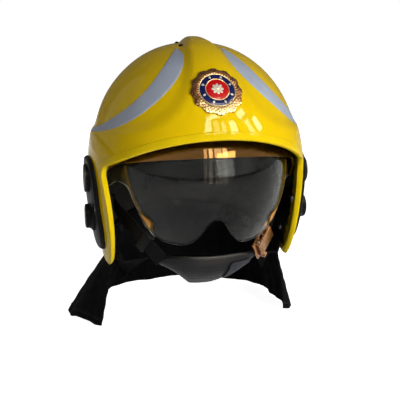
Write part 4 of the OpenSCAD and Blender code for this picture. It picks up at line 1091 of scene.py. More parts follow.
# Turned fittings, as places (x, radius) about their own line along X
BOSS = [(PLATE_FACE - 5, 0), (PLATE_FACE - 5, 16.6), (PLATE_FACE - 1.1, 16.6), (PLATE_FACE - 0.4, 16.2),
        (PLATE_FACE, 15.5), (PLATE_FACE, 0)]
LUG = [(120, 0), (120, 17.4), (123.6, 17.2), (124.6, 15.9), (125.8, 14.8), (127.4, 14.1), (129.6, 14),
       (130.6, 13.7), (131.2, 13.1), (LUG_REACH, 12.3), (LUG_REACH, 9.2), (131, 8.8), (131, 6.6),
       (131.3, 6.2), (131.3, 0)]
CAP = [(PLATE_FACE, 0), (PLATE_FACE, 15.5), (PLATE_FACE + 0.3, 15.9), (130.4, 16), (131, 15.8),
       (131.4, 15.2), (LUG_REACH, 14.4), (LUG_REACH, 12.9), (131.2, 12.4), (131, 11.8), (130.95, 5),
       (131.15, 4.4), (131.3, 3.6), (131.35, 0)]


def squarish(a, half, power):
    """Places round an outline between an ellipse, at power 2, and a rectangle."""
    r = (np.abs(np.cos(a) / half[0]) ** power + np.abs(np.sin(a) / half[1]) ** power) ** (-1 / power)
    return r * np.cos(a), r * np.sin(a)


def round_bar(profile, y, z, steps=64):
    """Turned shape about a line along X at a place in the side view."""
    return moved(turned(profile, steps), to=(0, y, z))


def bar(x0, x1, r, y, z, steps=48):
    """Plain round bar along X."""
    return round_bar([(x0, 0), (x0, r), (x1, r), (x1, 0)], y, z, steps)


def screw_seat(y, z):
    """How far out a screw's head sits in the plate."""
    return float(side_x(y, z, BROW_RISE + PLATE_T)) - SCREW_SUNK


def side_plate():
    """Left plate: a raised panel that follows the shell, with a boss, a lug and holes for its fittings."""
    last = len(PLATE_RIM) - 1

    def place(u, v):
        share, lift = PLATE_RIM[np.rint(v * last).astype(int)].T
        y, z = squarish(2 * np.pi * u, PLATE_HALF, PLATE_SQUARE)
        y, z = PLATE_MID[0] + share * y, PLATE_MID[1] + share * z
        return np.stack([side_x(y, z, BROW_RISE + lift), y, z], -1)
    body = closed(grid(160, last, place, around=True))
    body = cut(body, round_bar(BOSS, *CAP_YZ), "UNION")
    body = cut(body, round_bar(LUG, *LUG_YZ), "UNION")
    holes = [bar(113, 140, PIN_ROOM_R, HINGE_Y, HINGE_Z), bar(LUG_REACH - INSERT_DEEP - 2, 140, 5, *LUG_YZ)]
    for y, z in SCREW_YZ:
        seat = screw_seat(y, z)
        holes.append(round_bar([(103, 0), (103, 2.2), (seat, 2.2), (seat, 4.3), (seat + 1.9, 4.3),
                                (seat + 3.4, 5.8), (seat + 9, 5.8), (seat + 9, 0)], y, z, 40))
    for hole in holes:
        body = cut(body, hole)
    return body


def screws():
    """Domed screws with a six-sided socket, and their round nuts inside the shell."""
    parts = []
    for y, z in SCREW_YZ:
        seat = screw_seat(y, z)
        back = float(side_x(y, z, -WALL)) - NUT_T
        bm = round_bar([(back - 2, 0), (back - 2, 3.1), (back - 1.6, 3.8), (back - 1, 4), (back - 0.3, 4),
                        (back, 3.7), (back, 2), (seat, 2), (seat, 4), (seat + 0.8, 4), (seat + 1.3, 3.6),
                        (seat + 1.6, 2.9), (seat + 1.6, 0)], y, z, 40)
        parts.append(cut(bm, bar(seat + 0.4, seat + 4, 2.0, y, z, 6)))
    return mirrored_too(joined(parts))


def inserts():
    """Threaded sleeves in the lower lugs."""
    turns = [(LUG_REACH - 0.6 - 0.35 * k, INSERT_R + (0.32 if k % 2 else 0.0)) for k in range(20)]
    end = LUG_REACH - INSERT_DEEP
    profile = [(end - 1.8, 0), (end - 1.8, 4.7), (end - 1.5, 4.95), (131.2, 4.95), (LUG_REACH, 4.7),
               (LUG_REACH, 3.6)] + turns + [(end, INSERT_R), (end, 0)]
    return mirrored_too(round_bar(profile, *LUG_YZ))


def caps():
    return mirrored_too(round_bar(CAP, *CAP_YZ, steps=96))


plate_left = side_plate()
plate_right = mirror_image(plate_left)
piece("side_cover_left", plate_left, black_plastic, "side_plate_left")
piece("side_cover_right", plate_right, black_plastic, "side_plate_right")
piece("cover_screws", screws(), steel, "plate_screws")
piece("lug_inserts", inserts(), brass, "accessory_inserts")
piece("lug_covers", caps(), cap_plastic, "lug_caps")

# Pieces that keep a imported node's form and get round edges of the width given last
for name, node, mat, slot, edge in (
        ("pin_bushes", "pivot_bushes", black_plastic, "black_plastic", 0.25),
        ("pins", "hinge_pins", dark_steel, "steel", 0.4),
        ("washers", "pivot_washers", nylon, "nylon", 0.2),
        ("face_visor_hubs", "face_shield_hubs", black_plastic, "black_plastic", 0.25),
        ("eye_visor_hubs", "eye_shield_hubs", black_plastic, "black_plastic", 0.25),
        ("head_ring", "headband", black_plastic, "black_plastic", 0.5),
        ("ring_clips", "band_clips", dark_steel, "steel", 0.35),
        ("size_cradle", "nape_cradle", black_plastic, "black_plastic", 0.6),
        ("size_housing", "ratchet_housing", black_plastic, "black_plastic", 0.7),
        ("size_knob", "ratchet_knob", black_plastic, "black_plastic", 0.8),
        ("anchor_blocks", "strap_anchors", black_plastic, "black_plastic", 0.6),
        ("clamp_strip", "neck_strip", black_plastic, "black_plastic", 0.3),
        ("snap_studs", "neck_snaps", dark_steel, "steel", 0.35),
        ("strap_keeper", "strap_slider", black_plastic, "black_plastic", 0.8),
        ("buckle_plate", "buckle_frame", brass, "brass", 0.5),
        ("buckle_axle", "buckle_pin", steel, "steel", 0.3),
        ("buckle_flap", "buckle_lever", brass, "brass", 0.5)):
    piece(name, eased(from_node(node), edge, segments=3), mat, node)


# Amber strips on the eye shield
AMBER_LINE = np.array([(-66, 10), (-71.5, -4), (-76.5, -18), (-81, -32), (-84.5, -46), (-86.5, -60)])
# Share of the strip's way at which it widens to a tab, and the tab's spread, gain in half width and shift
TAB_AT, TAB_SPREAD, TAB_WIDE, TAB_SHIFT = 0.84, 0.09, 3.2, 2.4


def on_eye_dome(y, z, lift):
    """Place on the eye shield's outer side, or over it, from its place in the side view."""
    reach = ((y - HINGE_Y) ** 2 + (z - HINGE_Z) ** 2) / (EYE_R + lift) ** 2
    return np.stack([(EYE_HALF_W + lift) * np.sqrt(np.maximum(0, 1 - reach)), y, z], -1)


def amber_strips():
    """Thin strips that widen to a leaf-shaped tab near their lower end, the tab brighter."""
    line = evenly(AMBER_LINE, 1.0)

    def place(u, v):
        at = np.stack([np.interp(u, np.linspace(0, 1, len(line)), line[:, k]) for k in (0, 1)], -1)
        tab = np.exp(-((u - TAB_AT) / TAB_SPREAD) ** 2)
        ends = np.minimum(1, np.sqrt(np.clip(np.minimum(u, 1 - u) / 0.03, 0, 1)))
        across = 2 * v - 1
        y = at[:, 0] + (1.1 + TAB_WIDE * tab) * ends * across - TAB_SHIFT * tab
        return on_eye_dome(y, at[:, 1], 0.15 + 0.75 * np.sqrt(np.clip(1 - across ** 4, 0, 1)))
    bm = grid(140, 16, place)
    layer = bm.loops.layers.uv["Pattern"]
    for face in bm.faces:
        u, v = np.mean([loop[layer].uv for loop in face.loops], axis=0)
        face.material_index = int(((u - TAB_AT) / 0.11) ** 2 + ((v - 0.5) / 0.33) ** 2 < 1)
    return mirrored_too(walled(faced(bm, (0, 0, 0)), 0.5))


piece("visor_side_strips", amber_strips(), [amber, bright_amber], body="eye_shield")


# Foam, pads and head straps
# The foam's lower edge, as pairs of angle from the front and level
FOAM_EDGE = np.array([(0, 44), (40, 38), (65, 16), (80, 8), (110, 8), (135, 4), (180, 2)], float)
FOAM_GAP, EYE_GAP_SIDE, EYE_GAP_FRONT = 1.2, 6, 2
FOAM_BULGE, CHANNEL_DEEP, CHANNEL_EVERY, CHANNEL_WIDE = 1.6, 3.0, 15, 1.6
# Shares of the way from pole to edge: the channels' ends, and their ring with its width
CHANNEL_FROM, CHANNEL_TO, RING_AT, RING_WIDE = 0.35, 0.93, 0.34, 0.014
PIN_HOLE_R, PIN_HOLE_Z = 3.2, 17
# How cushions swell: pressure, steps, stiffness, and mass in kilograms
PRESSURE, SWELL_STEPS, STRETCH_STIFF, BEND_STIFF, CLOTH_MASS = 4.0, 20, 15, 2, 0.3
EAR_MID, EAR_HALF, EAR_SQUARE = np.array([6.0, -67.0]), (28.0, 15.0), 2.6
# An ear pad's rings, as pairs of share of its half size and depth from the wall
EAR_RINGS = [(0.3, 13.2), (0.65, 12.2), (0.88, 9.6), (0.97, 5.4), (0.92, 2.6), (0.8, 1.9), (0.4, 1.9)]
EAR_SEAM_YS, EAR_SEAM_DEEP = (-9.5, 9.5), 1.3
# Outline of a band cushion, as shares of its thickness and height
CUSHION_SECTION = [(0, 0.35), (0, 0.65), (0.25, 0.9), (0.6, 1), (0.9, 0.97), (1, 0.8), (1, 0.5), (1, 0.2),
                   (0.9, 0.03), (0.6, 0), (0.25, 0.1)]
QUILT_EVERY, QUILT_WIDE, QUILT_DEEP = 11, 0.7, 0.7
# The crown pad's rings, as pairs of angle from the top and depth under the head room's wall
CROWN_RINGS = [(10, 6.6), (20, 6.4), (24.4, 5.6), (25.4, 4), (24.4, 2.4), (20, 1.7), (10, 1.5)]
CROWN_SEAM_R, CROWN_SEAM_WIDE, CROWN_SEAM_DEEP = 12, 1.1, 0.9


def room_reach(d, inset):
    """Reach along d from the centre to the wall of the head's room, or that far inside it."""
    return 1 / np.sqrt((d[..., 0] / (HEAD_HALF_W - inset)) ** 2
                       + (d[..., 1] / (np.where(d[..., 1] < 0, HEAD_FRONT, HEAD_REAR) - inset)) ** 2
                       + (d[..., 2] / (HEAD_UP - inset)) ** 2)


def sweep_reach(d, w, r):
    """Reach from the egg's centre of a dome that turns on the hinge axis."""
    y, z = EGG_Y - HINGE_Y, -HINGE_Z
    a = (d[..., 0] / w) ** 2 + (d[..., 1] ** 2 + d[..., 2] ** 2) / r ** 2
    b = (y * d[..., 1] + z * d[..., 2]) / r ** 2
    return (-b + np.sqrt(b * b - a * ((y * y + z * z) / r ** 2 - 1))) / a


def foam_out(d):
    """The foam's outer side: the shell's wall, or the sweep of the eye shield where that is nearer."""
    shell = egg_reach(d, -WALL - FOAM_GAP)
    sweep = sweep_reach(d, EYE_HALF_W - EYE_WALL - EYE_GAP_SIDE, EYE_R - EYE_WALL - EYE_GAP_FRONT)
    p = CENTRE + d * shell[:, None]
    y, z = p[:, 1] - HINGE_Y, p[:, 2] - HINGE_Z
    behind = smooth((np.degrees(np.arctan2(y, z)) - lerp(34, 8, smooth((np.hypot(y, z) - 20) / 60))) / 22)
    return lerp(np.minimum(shell, sweep), shell, behind)


def liner():
    """Foam between shell and head, with its edge rounded and channels moulded in its inner side."""
    outside, edge, inside = 30, 5, 40
    rows = outside + edge + inside

    def place(u, v):
        az = 360 * u
        e = unit(at_level(az, np.interp(np.minimum(az, 360 - az), FOAM_EDGE[:, 0], FOAM_EDGE[:, 1])))
        k = v * rows
        t = np.where(k <= outside, k / outside, np.where(k < outside + edge, 1, (rows - k) / inside))
        share = np.clip((k - outside) / edge, 0, 1)
        d = along_arc(e, np.clip(t, 0.001, 1))
        beside = np.abs((az + CHANNEL_EVERY / 2) % CHANNEL_EVERY - CHANNEL_EVERY / 2)
        ends = smooth((t - CHANNEL_FROM) / 0.1) * smooth((CHANNEL_TO - t) / 0.1)
        ribs = np.exp(-(beside / CHANNEL_WIDE) ** 2) * ends
        ring = np.exp(-((t - RING_AT) / RING_WIDE) ** 2)
        inner = room_reach(d, 0.0) + np.where(share >= 1, CHANNEL_DEEP * np.maximum(ribs, ring), 0)
        outer = foam_out(d)
        bulge = np.where((share > 0) & (share < 1), FOAM_BULGE * np.sin(np.pi * share), 0)
        p = CENTRE + d * lerp(outer, inner, smooth(share))[:, None]
        return p - np.stack([0 * bulge, 0 * bulge, bulge], -1)
    bm = closed(grid(240, rows, place, around=True))
    for side in (-1, 1):
        bm = cut(bm, bar(side * 80, side * 95, PIN_HOLE_R, EGG_Y, PIN_HOLE_Z))
    return bm


def placed(mesh):
    """Places of a mesh's vertices, as an array."""
    return np.array([v.co for v in mesh.vertices])


def place_all(mesh, at):
    for v, p in zip(mesh.vertices, at):
        v.co = p


def swollen(obj, cap, hold):
    """Lets a piece swell as cloth and leaves it within a cap, in millimetres."""
    rest = placed(obj.data)
    cloth = obj.modifiers.new("cloth", "CLOTH")
    rules = cloth.settings
    rules.quality, rules.mass = 5, CLOTH_MASS
    rules.tension_stiffness = STRETCH_STIFF
    rules.compression_stiffness = STRETCH_STIFF
    rules.bending_stiffness = BEND_STIFF
    rules.use_pressure, rules.uniform_pressure_force = True, PRESSURE
    rules.effector_weights.gravity = 0
    cloth.point_cache.frame_start, cloth.point_cache.frame_end = 1, SWELL_STEPS
    for f in range(1, SWELL_STEPS + 1):
        scene.frame_set(f)
    settled(obj)
    scene.frame_set(1)
    move = np.nan_to_num(placed(obj.data) - rest)
    far = np.linalg.norm(move, axis=1, keepdims=True)
    limit = cap * MM * (hold(rest / MM)[:, None] if hold else 1.0)
    place_all(obj.data, rest + move * np.minimum(1, limit / np.maximum(far, 1e-9)))


def puffed(name, bm, stands_for, voxel, cap, seam=None, hold=None):
    """Padded piece: its slightly smaller form swells as cloth within a cap, in millimetres.
    hold gives the share of the cap that a place may move, seam how deep a sewn line lies there."""
    even = worked(bm, "REMESH", mode="VOXEL", voxel_size=voxel)
    obj = piece(name, even, padding, stands_for)
    swollen(obj, cap, hold)
    fine = obj.modifiers.new("fine", "SUBSURF")
    fine.levels = 1
    fine.render_levels = 1
    settled(obj)
    if seam:
        normals = np.array([v.normal for v in obj.data.vertices])
        at = placed(obj.data)
        place_all(obj.data, at - normals * seam(at / MM)[:, None] * MM)
    for poly in obj.data.polygons:
        poly.use_smooth = True
    return obj


def lofted(rings, first, last):
    """Closed skin through rings of equally many places and a place beyond each end."""
    rings = np.array(rings, float)
    ends = [np.repeat(np.array([[p]], float), rings.shape[1], 1) for p in (first, last)]
    whole = np.concatenate([ends[0], rings, ends[1]])
    n, m = rings.shape[1], len(whole) - 1

    def place(u, v):
        return whole[np.rint(v * m).astype(int), np.rint(u * n).astype(int) % n]
    return closed(grid(n, m, place, around=True))


def ear_pad(side):
    a = 2 * np.pi * np.arange(64) / 64
    rings = []
    for share, depth in EAR_RINGS:
        y, z = squarish(a, EAR_HALF, EAR_SQUARE)
        y, z = EAR_MID[0] + share * y, EAR_MID[1] + share * z
        rings.append(np.stack([side * (side_x(y, z, -WALL) - depth), y, z], -1))
    wall = float(side_x(EAR_MID[0], EAR_MID[1], -WALL))
    return lofted(rings, (side * (wall - 13.4), *EAR_MID), (side * (wall - 1.9), *EAR_MID))


def from_wall(at):
    """How far inwards from the shell's wall places lie, seen from the side."""
    return side_x(at[:, 1], at[:, 2], -WALL) - np.abs(at[:, 0])


def ear_seams(at):
    """Two sewn channels across the cushion's face."""
    lines = sum(np.exp(-((at[:, 1] - EAR_MID[0] - k) / 1.2) ** 2) for k in EAR_SEAM_YS)
    return EAR_SEAM_DEEP * lines * smooth((from_wall(at) - 6) / 5)


def ear_hold(at):
    return smooth((from_wall(at) - 2) / 5)


def oval(inset, az):
    """Place on the headband's oval, seen from above."""
    a = np.radians(az)
    reach = np.where(np.cos(a) > 0, HEAD_FRONT, HEAD_REAR) - inset
    return (HEAD_HALF_W - inset) * np.sin(a), EGG_Y - reach * np.cos(a)


def band_cushion(from_az, to_az, inset, thick, low, high):
    """Flat cushion along the inside of the headband's oval."""
    rings = []
    for az in np.linspace(from_az, to_az, 41):
        x, y = zip(*[oval(inset + s * thick, az) for s, _ in CUSHION_SECTION])
        rings.append(np.stack([x, y, [low + h * (high - low) for _, h in CUSHION_SECTION]], -1))
    return lofted(rings, rings[0].mean(0), rings[-1].mean(0))


def quilting(at):
    """Upright sewn lines at an even spacing round the head."""
    az = np.degrees(np.arctan2(at[:, 0], EGG_Y - at[:, 1]))
    beside = (az + QUILT_EVERY / 2) % QUILT_EVERY - QUILT_EVERY / 2
    return QUILT_DEEP * np.exp(-(beside / QUILT_WIDE) ** 2)


def crown_cushion():
    b = 2 * np.pi * np.arange(64) / 64

    def ring(angle, inset):
        s, c = math.sin(math.radians(angle)), math.cos(math.radians(angle))
        d = np.stack([s * np.cos(b), s * np.sin(b), 0 * b + c], -1)
        return CENTRE + d * room_reach(d, inset)[:, None]
    rings = [ring(angle, inset) for angle, inset in CROWN_RINGS]
    up = np.array([0, 0, 1.0])
    return lofted(rings, CENTRE + up * room_reach(up, 6.7), CENTRE + up * room_reach(up, 1.5))


def crown_seams(at):
    """A sewn ring with six sewn spokes outside it."""
    far = np.hypot(at[:, 0], at[:, 1] - EGG_Y)
    spokes = np.abs(np.sin(3 * np.arctan2(at[:, 1] - EGG_Y, at[:, 0]))) * far / 3
    lines = np.maximum(np.exp(-(spokes / CROWN_SEAM_WIDE) ** 2) * (far > CROWN_SEAM_R),
                       np.exp(-((far - CROWN_SEAM_R) / CROWN_SEAM_WIDE) ** 2))
    return CROWN_SEAM_DEEP * lines


def crown_webs():
    """Two webs that cross over the head, one over the other."""
    parts = []
    for turn, inset in ((45, 8.1), (-45, 9.6)):
        c, s = math.cos(math.radians(turn)), math.sin(math.radians(turn))
        a = np.radians(np.linspace(-82, 82, 60))
        d = np.stack([np.sin(a) * s, -np.sin(a) * c, np.cos(a)], -1)
        path = CENTRE + d * room_reach(d, inset + 0.6)[:, None]
        parts.append(swept(path, d, strap_section(16, 1.2)))
    return joined(parts)


piece("foam_liner", liner(), foam, "impact_liner", crease=50)
piece("crown_webs", crown_webs(), dark_webbing, "crown_straps", crease=60)
for side, sign in (("left", 1), ("right", -1)):
    puffed("ear_cushion_" + side, ear_pad(sign), "ear_pad_" + side, voxel=2.2, cap=1.6,
           seam=ear_seams, hold=ear_hold)
puffed("brow_cushion", band_cushion(-33.6, 33.6, inset=8.7, thick=2.9, low=-3.4, high=25.4), "brow_pad",
       voxel=1.4, cap=0.7, seam=quilting)
puffed("nape_cushion", band_cushion(144.5, 215.5, inset=15.2, thick=2.9, low=-48.4, high=-11.6), "nape_pad",
       voxel=1.4, cap=0.7, seam=quilting)
puffed("crown_cushion", crown_cushion(), "crown_pad", voxel=1.8, cap=0.8, seam=crown_seams)


# Chin straps, cup and strap end
# The strap's run, as given places: from its anchor, over the jaw, to the buckle's side
STRAP_TOP = np.array([97.6, -8.0, -42.0])
STRAP_PLACES = np.array([(96.5, -17, -46.5), (91.97, -29, -53), (83.95, -44, -61), (77.02, -54.5, -69)])
STRAP_END = np.array([53.16, -74.0, -97.2])
# The cup turns about an upright line at AXIS_Y, up to CUP_END degrees to either side of the front, and
# grows narrower from CUP_FLAT on towards the level CUP_LOW
AXIS_Y, CUP_FLAT, CUP_END, CUP_WALL, CUP_LEAN, CUP_LOW = -20.0, 18, 50.0, 3.0, 5.0, -98.0
# The cup's section at the front: radius as a share of the anchors' distance, and level
ANCHOR_IN, CUP_SECTION = 99.0, np.array([(0.734, -91), (0.828, -112), (0.404, -131)])
CUP_ROWS, CUP_EDGE_ROWS, CUP_SWELL, CUP_EDGE_BULGE = 44, 4, 0.5, 0.9
CUP_SEAMS, CUP_RIDGES = (0.125, 0.875), (0.36, 0.66)
# The strap's free end on the cup: angles, shares from top to bottom, and how far it stands out
TIP_FROM_AZ, TIP_TO_AZ, TIP_LOW, TIP_HIGH, TIP_MID = 38, 16, 0.2, 0.75, 0.475
TIP_FACE, TIP_BACK, TIP_CORNER = -3.4, -1.4, -3.0


def spline(points, n):
    """Smooth path through places."""
    p = np.array(points, float)
    p = np.concatenate([[2 * p[0] - p[1]], p, [2 * p[-1] - p[-2]]])
    s = np.linspace(0, len(p) - 3, n)
    i = np.minimum(s.astype(int), len(p) - 4)
    t = (s - i)[:, None]
    a, b, c, d = p[i], p[i + 1], p[i + 2], p[i + 3]
    return 0.5 * (2 * b + (c - a) * t + (2 * a - 5 * b + 4 * c - d) * t ** 2
                  + (3 * b - a - 3 * c + d) * t ** 3)


def outward(path):
    """Directions square to a path, away from the neck's upright line."""
    ahead = unit(np.gradient(path, axis=0))
    n = path * [1, 1, 0] - [0, AXIS_Y, 0]
    return unit(n - (n * ahead).sum(1, keepdims=True) * ahead)


def flipped(points):
    return np.array(points, float) * [-1, 1, 1]


def box_stitch(path, out, start, end, half=7.0):
    """A sewn box with a cross, between two shares of a strap's path, on its outer face."""
    across = np.cross(unit(np.gradient(path, axis=0)), out)
    share = np.linspace(0, 1, len(path))
    surface = path + out * (STRAP_T / 2 + 0.05)
    face = np.array([np.interp((start + end) / 2, share, out[:, k]) for k in range(3)])

    def at(s, w):
        return np.array([[np.interp(q, share, (surface + across * x)[:, k]) for k in range(3)]
                         for q, x in zip(s, w)])
    corners = ((start, -half), (end, -half), (end, half), (start, half))
    runs = [(corners[k], corners[(k + 1) % 4]) for k in range(4)]
    runs += [(corners[0], corners[2]), (corners[3], corners[1])]
    parts = []
    for (s0, w0), (s1, w1) in runs:
        line = at(np.linspace(s0, s1, 12), np.linspace(w0, w1, 12))
        parts.append(stitches(line, np.repeat(face[None], len(line), 0), step=2.6, long=1.7, r=0.28))
    return joined(parts)


to_buckle = lerp(STRAP_PLACES[3], STRAP_END, np.array([[0.3], [0.6], [1.0]]))
left_run = spline(np.concatenate([[STRAP_TOP], STRAP_PLACES]), 60)
right_run = flipped(spline(np.concatenate([[STRAP_TOP], STRAP_PLACES, to_buckle]), 100))
web_section = strap_section(STRAP_W, STRAP_T)
piece("left_chin_web", swept(left_run, outward(left_run), web_section), webbing, "chin_strap_left",
      crease=60)
piece("right_chin_web", swept(right_run, outward(right_run), web_section), webbing, "chin_strap_right",
      crease=60)
web_stitches = [box_stitch(left_run, outward(left_run), 0.3, 0.55),
                box_stitch(right_run, outward(right_run), 0.16, 0.31)]
piece("web_stitching", joined(web_stitches), thread)


def cup_spot(az, v, inset):
    """Place on the chin cup: angle from the front, share from top to bottom and depth, as arrays."""
    q = curve3(*CUP_SECTION, v[:, None])
    a, r = np.radians(az), q[:, 0] * ANCHOR_IN - inset
    h = lerp(1, 0.5, smooth((np.abs(az) - CUP_FLAT) / (CUP_END - CUP_FLAT)))
    z = lerp(CUP_LOW, q[:, 1], h)
    return np.stack([r * np.sin(a) - CUP_LEAN * v ** 2, AXIS_Y - r * np.cos(a), z], -1)


def cup_swell(az, v):
    return CUP_SWELL * np.sin(np.pi * v) * np.cos(np.radians(az * 1.5))


def cup_outer(az, v):
    """The cup's outer side: a bound edge, two sewn ridges and a soft swell between them."""
    edge = np.minimum(v, 1 - v)
    bind = 0.45 * smooth((0.1 - edge) / 0.015)
    sewn = sum(np.exp(-((v - k) / 0.012) ** 2) for k in CUP_RIDGES)
    return cup_spot(az, v, -cup_swell(az, v) - bind + 0.5 * sewn)


def chin_cup():
    """Padded cup: down its outer side, round its lower edge, up its inner side and over its upper edge."""
    rows = 2 * (CUP_ROWS + CUP_EDGE_ROWS)

    def place(u, v):
        az = lerp(CUP_END, -CUP_END, u)
        k = v * rows
        top = np.clip(k / CUP_ROWS, 0, 1)
        low = np.clip((k - CUP_ROWS) / CUP_EDGE_ROWS, 0, 1)
        back = np.clip((k - CUP_ROWS - CUP_EDGE_ROWS) / CUP_ROWS, 0, 1)
        high = np.clip((k - 2 * CUP_ROWS - CUP_EDGE_ROWS) / CUP_EDGE_ROWS, 0, 1)
        inner = cup_spot(az, 1 - back, CUP_WALL + 0 * az)
        edge = lerp(lerp(cup_outer(az, top), inner, low[:, None]), cup_outer(az, 0 * az), high[:, None])
        bulge = CUP_EDGE_BULGE * (np.sin(np.pi * high) - np.sin(np.pi * low))
        taper = np.minimum(1, np.sqrt(np.clip(np.minimum(u, 1 - u) / 0.02, 0, 1)) * 0.35 + 0.65)
        middle = cup_spot(az, np.where(top < 1, top, 1 - back), CUP_WALL / 2 + 0 * az)
        return middle + (edge - middle) * taper[:, None] + np.stack([0 * bulge, 0 * bulge, bulge], -1)
    return closed(grid(110, rows, place, around=True, pattern=(112, 110)))


def cup_seam(v, lift=0.1, span=47, n=120):
    """Row of stitches along the cup at a share from top to bottom."""
    az = np.linspace(span, -span, n)
    out = cup_spot(az, 0 * az + v, 0 * az) - cup_spot(az, 0 * az + v, 1 + 0 * az)
    line = cup_spot(az, 0 * az + v, -cup_swell(az, v) - lift)
    return stitches(line, out, step=3.4, long=2.3, r=0.26)


def strap_end_piece():
    """Free end of the webbing, laid along the cup, its corners rounded."""
    shares = np.linspace(TIP_LOW, TIP_HIGH, 13)
    full = np.concatenate([shares, shares[::-1]])
    depth = np.repeat([TIP_FACE, TIP_BACK], len(shares))
    depth[[0, len(shares) - 1]] = TIP_CORNER
    m = len(full)

    def place(u, v):
        j = np.rint(v * m).astype(int) % m
        az = lerp(TIP_FROM_AZ, TIP_TO_AZ, u)
        trim = np.sqrt(np.clip(1 - np.maximum(0, u - 0.86) ** 2 / 0.14 ** 2 * 0.5, 0, 1))
        return cup_spot(az, TIP_MID + (full[j] - TIP_MID) * trim, depth[j])
    return closed(grid(48, m, place, around=True, pattern=(34, 46)))


piece("chin_pad_shell", chin_cup(), cup_cover, "chin_cup", crease=50)
piece("chin_pad_stitching", joined([cup_seam(v) for v in CUP_SEAMS]), thread)
piece("web_end", strap_end_piece(), dark_webbing, "strap_tip", crease=50)


# Neck cloth
GUARD_IN, TUCK = 1.6, 15.0
COLLAR_IN = GUARD_IN + CLOTH_T + 0.9
CAPE_FROM, CAPE_TO, COLLAR_FROM = TIP_AZ + 1, 359 - TIP_AZ, 64.0
# Share of each sheet that is tucked in above the rim
CAPE_TUCKED, COLLAR_TUCKED = 0.16, 0.2
CAPE_T, COLLAR_T = 2.0, 1.9
# The cape's hem from above and how far it drops, as pairs of angle and distance or change of level
CAPE_REACH = np.array([(76, 114), (84, 122), (95, 129), (110, 134), (125, 142), (145, 152), (165, 150),
                       (180, 154), (200, 152), (220, 152), (240, 156), (254, 160), (265, 155), (274, 138),
                       (284, 118)], float)
CAPE_DROP = np.array([(76, 9), (84, 1), (95, -2), (180, 0), (250, -1), (258, -3), (267, 6), (276, 2),
                      (284, 4)], float)
# The collar's lower edge, as angle and place
COLLAR_LOW = np.array([(64, 61, -28, -108), (78, 76, -12, -124), (95, 88, 6, -142), (120, 84, 44, -148),
                       (150, 50, 90, -148), (180, 0, 106, -148)], float)
CAPE_SEAMS, SEAM_APART, HEM_SEAMS = (128.0, 232.0), (-1.1, 1.1), (0.906, 0.925)


def softened(x, table, column=1, wide=3.5):
    """Value from a table, its corners smoothed."""
    offsets = np.linspace(-2, 2, 9)
    weights = np.exp(-offsets ** 2)
    near = [w * np.interp(x + o * wide, table[:, 0], table[:, column]) for w, o in zip(weights, offsets)]
    return sum(near) / weights.sum()


def rim(az, up, depth):
    """Place inside the shell's edge, above it and some way in from the wall."""
    level = rear_level(np.minimum(az, 360 - az))
    return CENTRE + at_level(az, level + up, -WALL - depth)


def cape_place(az, v):
    """Place on the cape: v runs from the tucked upper edge, 0, over the rim to the hem, 1."""
    tucked = np.clip(v / CAPE_TUCKED, 0, 1)
    s = np.clip((v - CAPE_TUCKED) / (1 - CAPE_TUCKED), 0, 1)
    b = rim(az, lerp(TUCK, -2, tucked), GUARD_IN)
    a = np.radians(az)
    fold = 4 * (np.sin(9 * a) - 1) + 1.1 * np.sin(23 * a + 2.0 * s) * s + 0.6 * np.sin(41 * a - 3.0 * s) * s
    sag = 1.6 * np.sin(np.pi * s) + 0.35 * np.sin(9 * np.pi * s + 3 * np.sin(5 * a)) * np.sin(np.pi * s)
    seam = sum(np.exp(-((az - k) / 0.35) ** 2) for k in CAPE_SEAMS)
    hem = 0.55 * smooth((s - 0.9) / 0.012) - 0.35 * np.exp(-((s - 0.895) / 0.006) ** 2)
    r = lerp(np.hypot(b[:, 0], b[:, 1] - EGG_Y), softened(az, CAPE_REACH) + fold, s ** 0.95)
    r = r + sag - 0.8 * seam * s + hem * (s > 0)
    z = lerp(b[:, 2], HEM_Z + softened(az, CAPE_DROP), s)
    low = np.stack([r * np.sin(a), EGG_Y - r * np.cos(a), z], -1)
    return np.where((s > 0)[:, None], low, b)


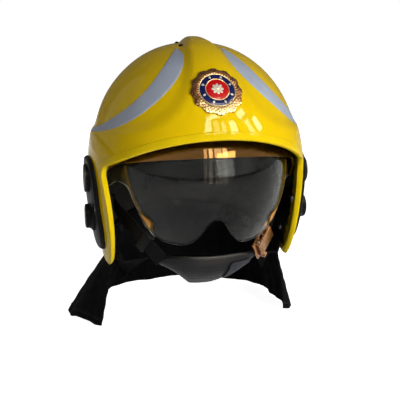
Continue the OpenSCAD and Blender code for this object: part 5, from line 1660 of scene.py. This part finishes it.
def collar_place(az, v):
    """Place on the inner collar, from its tucked upper edge, 0, to its lower edge, 1."""
    tucked = np.clip(v / COLLAR_TUCKED, 0, 1)
    s = np.clip((v - COLLAR_TUCKED) / (1 - COLLAR_TUCKED), 0, 1)[:, None]
    top = rim(az, lerp(TUCK, 3, tucked), COLLAR_IN)
    b = np.minimum(az, 360 - az)
    low = np.stack([softened(b, COLLAR_LOW, column, 2.0) for column in (1, 2, 3)], -1)
    low[:, 0] *= np.sign(180 - az) * np.clip(np.abs(180 - az) / 4, 0, 1)
    knee = np.stack([top[:, 0] * 0.97, top[:, 1] * 0.97, lerp(top[:, 2], low[:, 2], 0.6)], -1)
    p = curve3(top, knee, low, s)
    a = np.radians(az)
    ripple = (0.7 * np.sin(31 * a + 4 * s[:, 0]) + 0.5 * np.sin(17 * a)) * np.sin(np.pi * s[:, 0]) ** 0.7
    out = unit((p - [0, EGG_Y, 0]) * [1, 1, 0])
    return p + out * (ripple - 0.7)[:, None]


def cloth_sheet(place, az0, az1, cols, rows, thick):
    """Hung sheet, with the flat size it was cut to and its area, both in metres."""
    def at(u, v):
        return place(lerp(az0, az1, u), v)
    s = np.linspace(0, 1, 160)
    wide = max(path_length(at(s, np.full(len(s), v))) for v in (0.2, 0.6, 1.0))
    high = float(np.mean([path_length(at(np.full(len(s), u), s)) for u in np.linspace(0.02, 0.98, 15)]))
    bm = faced(grid(cols, rows, at, pattern=(wide, high)), (0, EGG_Y, -140))
    area = sum(f.calc_area() for f in bm.faces) * MM ** 2
    return walled(bm, thick), (wide * MM, high * MM), area


def cloth_stitches(path, lift):
    """Row of stitches on the outer side of the cloth."""
    out = unit((path - [0, EGG_Y, 0]) * [1, 1, 0.25])
    return stitches(path + out * lift, out, step=4.6, long=3.0, r=0.3)


def hem_stitches(v):
    az = np.linspace(CAPE_FROM + 1, CAPE_TO - 1, 400)
    return cloth_stitches(cape_place(az, np.full(len(az), v)), 0.25)


def seam_stitches(az):
    v = np.linspace(0.2, 0.9, 80)
    return cloth_stitches(cape_place(np.full(len(v), az), v), 0.2)


cape_bm, cape_flat, cape_area = cloth_sheet(cape_place, CAPE_FROM, CAPE_TO, 460, 64, CAPE_T)
collar_bm, collar_flat, collar_area = cloth_sheet(collar_place, COLLAR_FROM, 360 - COLLAR_FROM, 300, 40,
                                                  COLLAR_T)
cape = piece("neck_cape", cape_bm, cloth, "neck_guard", crease=60)
collar = piece("neck_inner_collar", collar_bm, lining, "neck_collar", crease=60)
sewing = piece("cape_stitching", joined([hem_stitches(v) for v in HEM_SEAMS]
                                        + [seam_stitches(k + s) for k in CAPE_SEAMS for s in SEAM_APART]),
               thread)
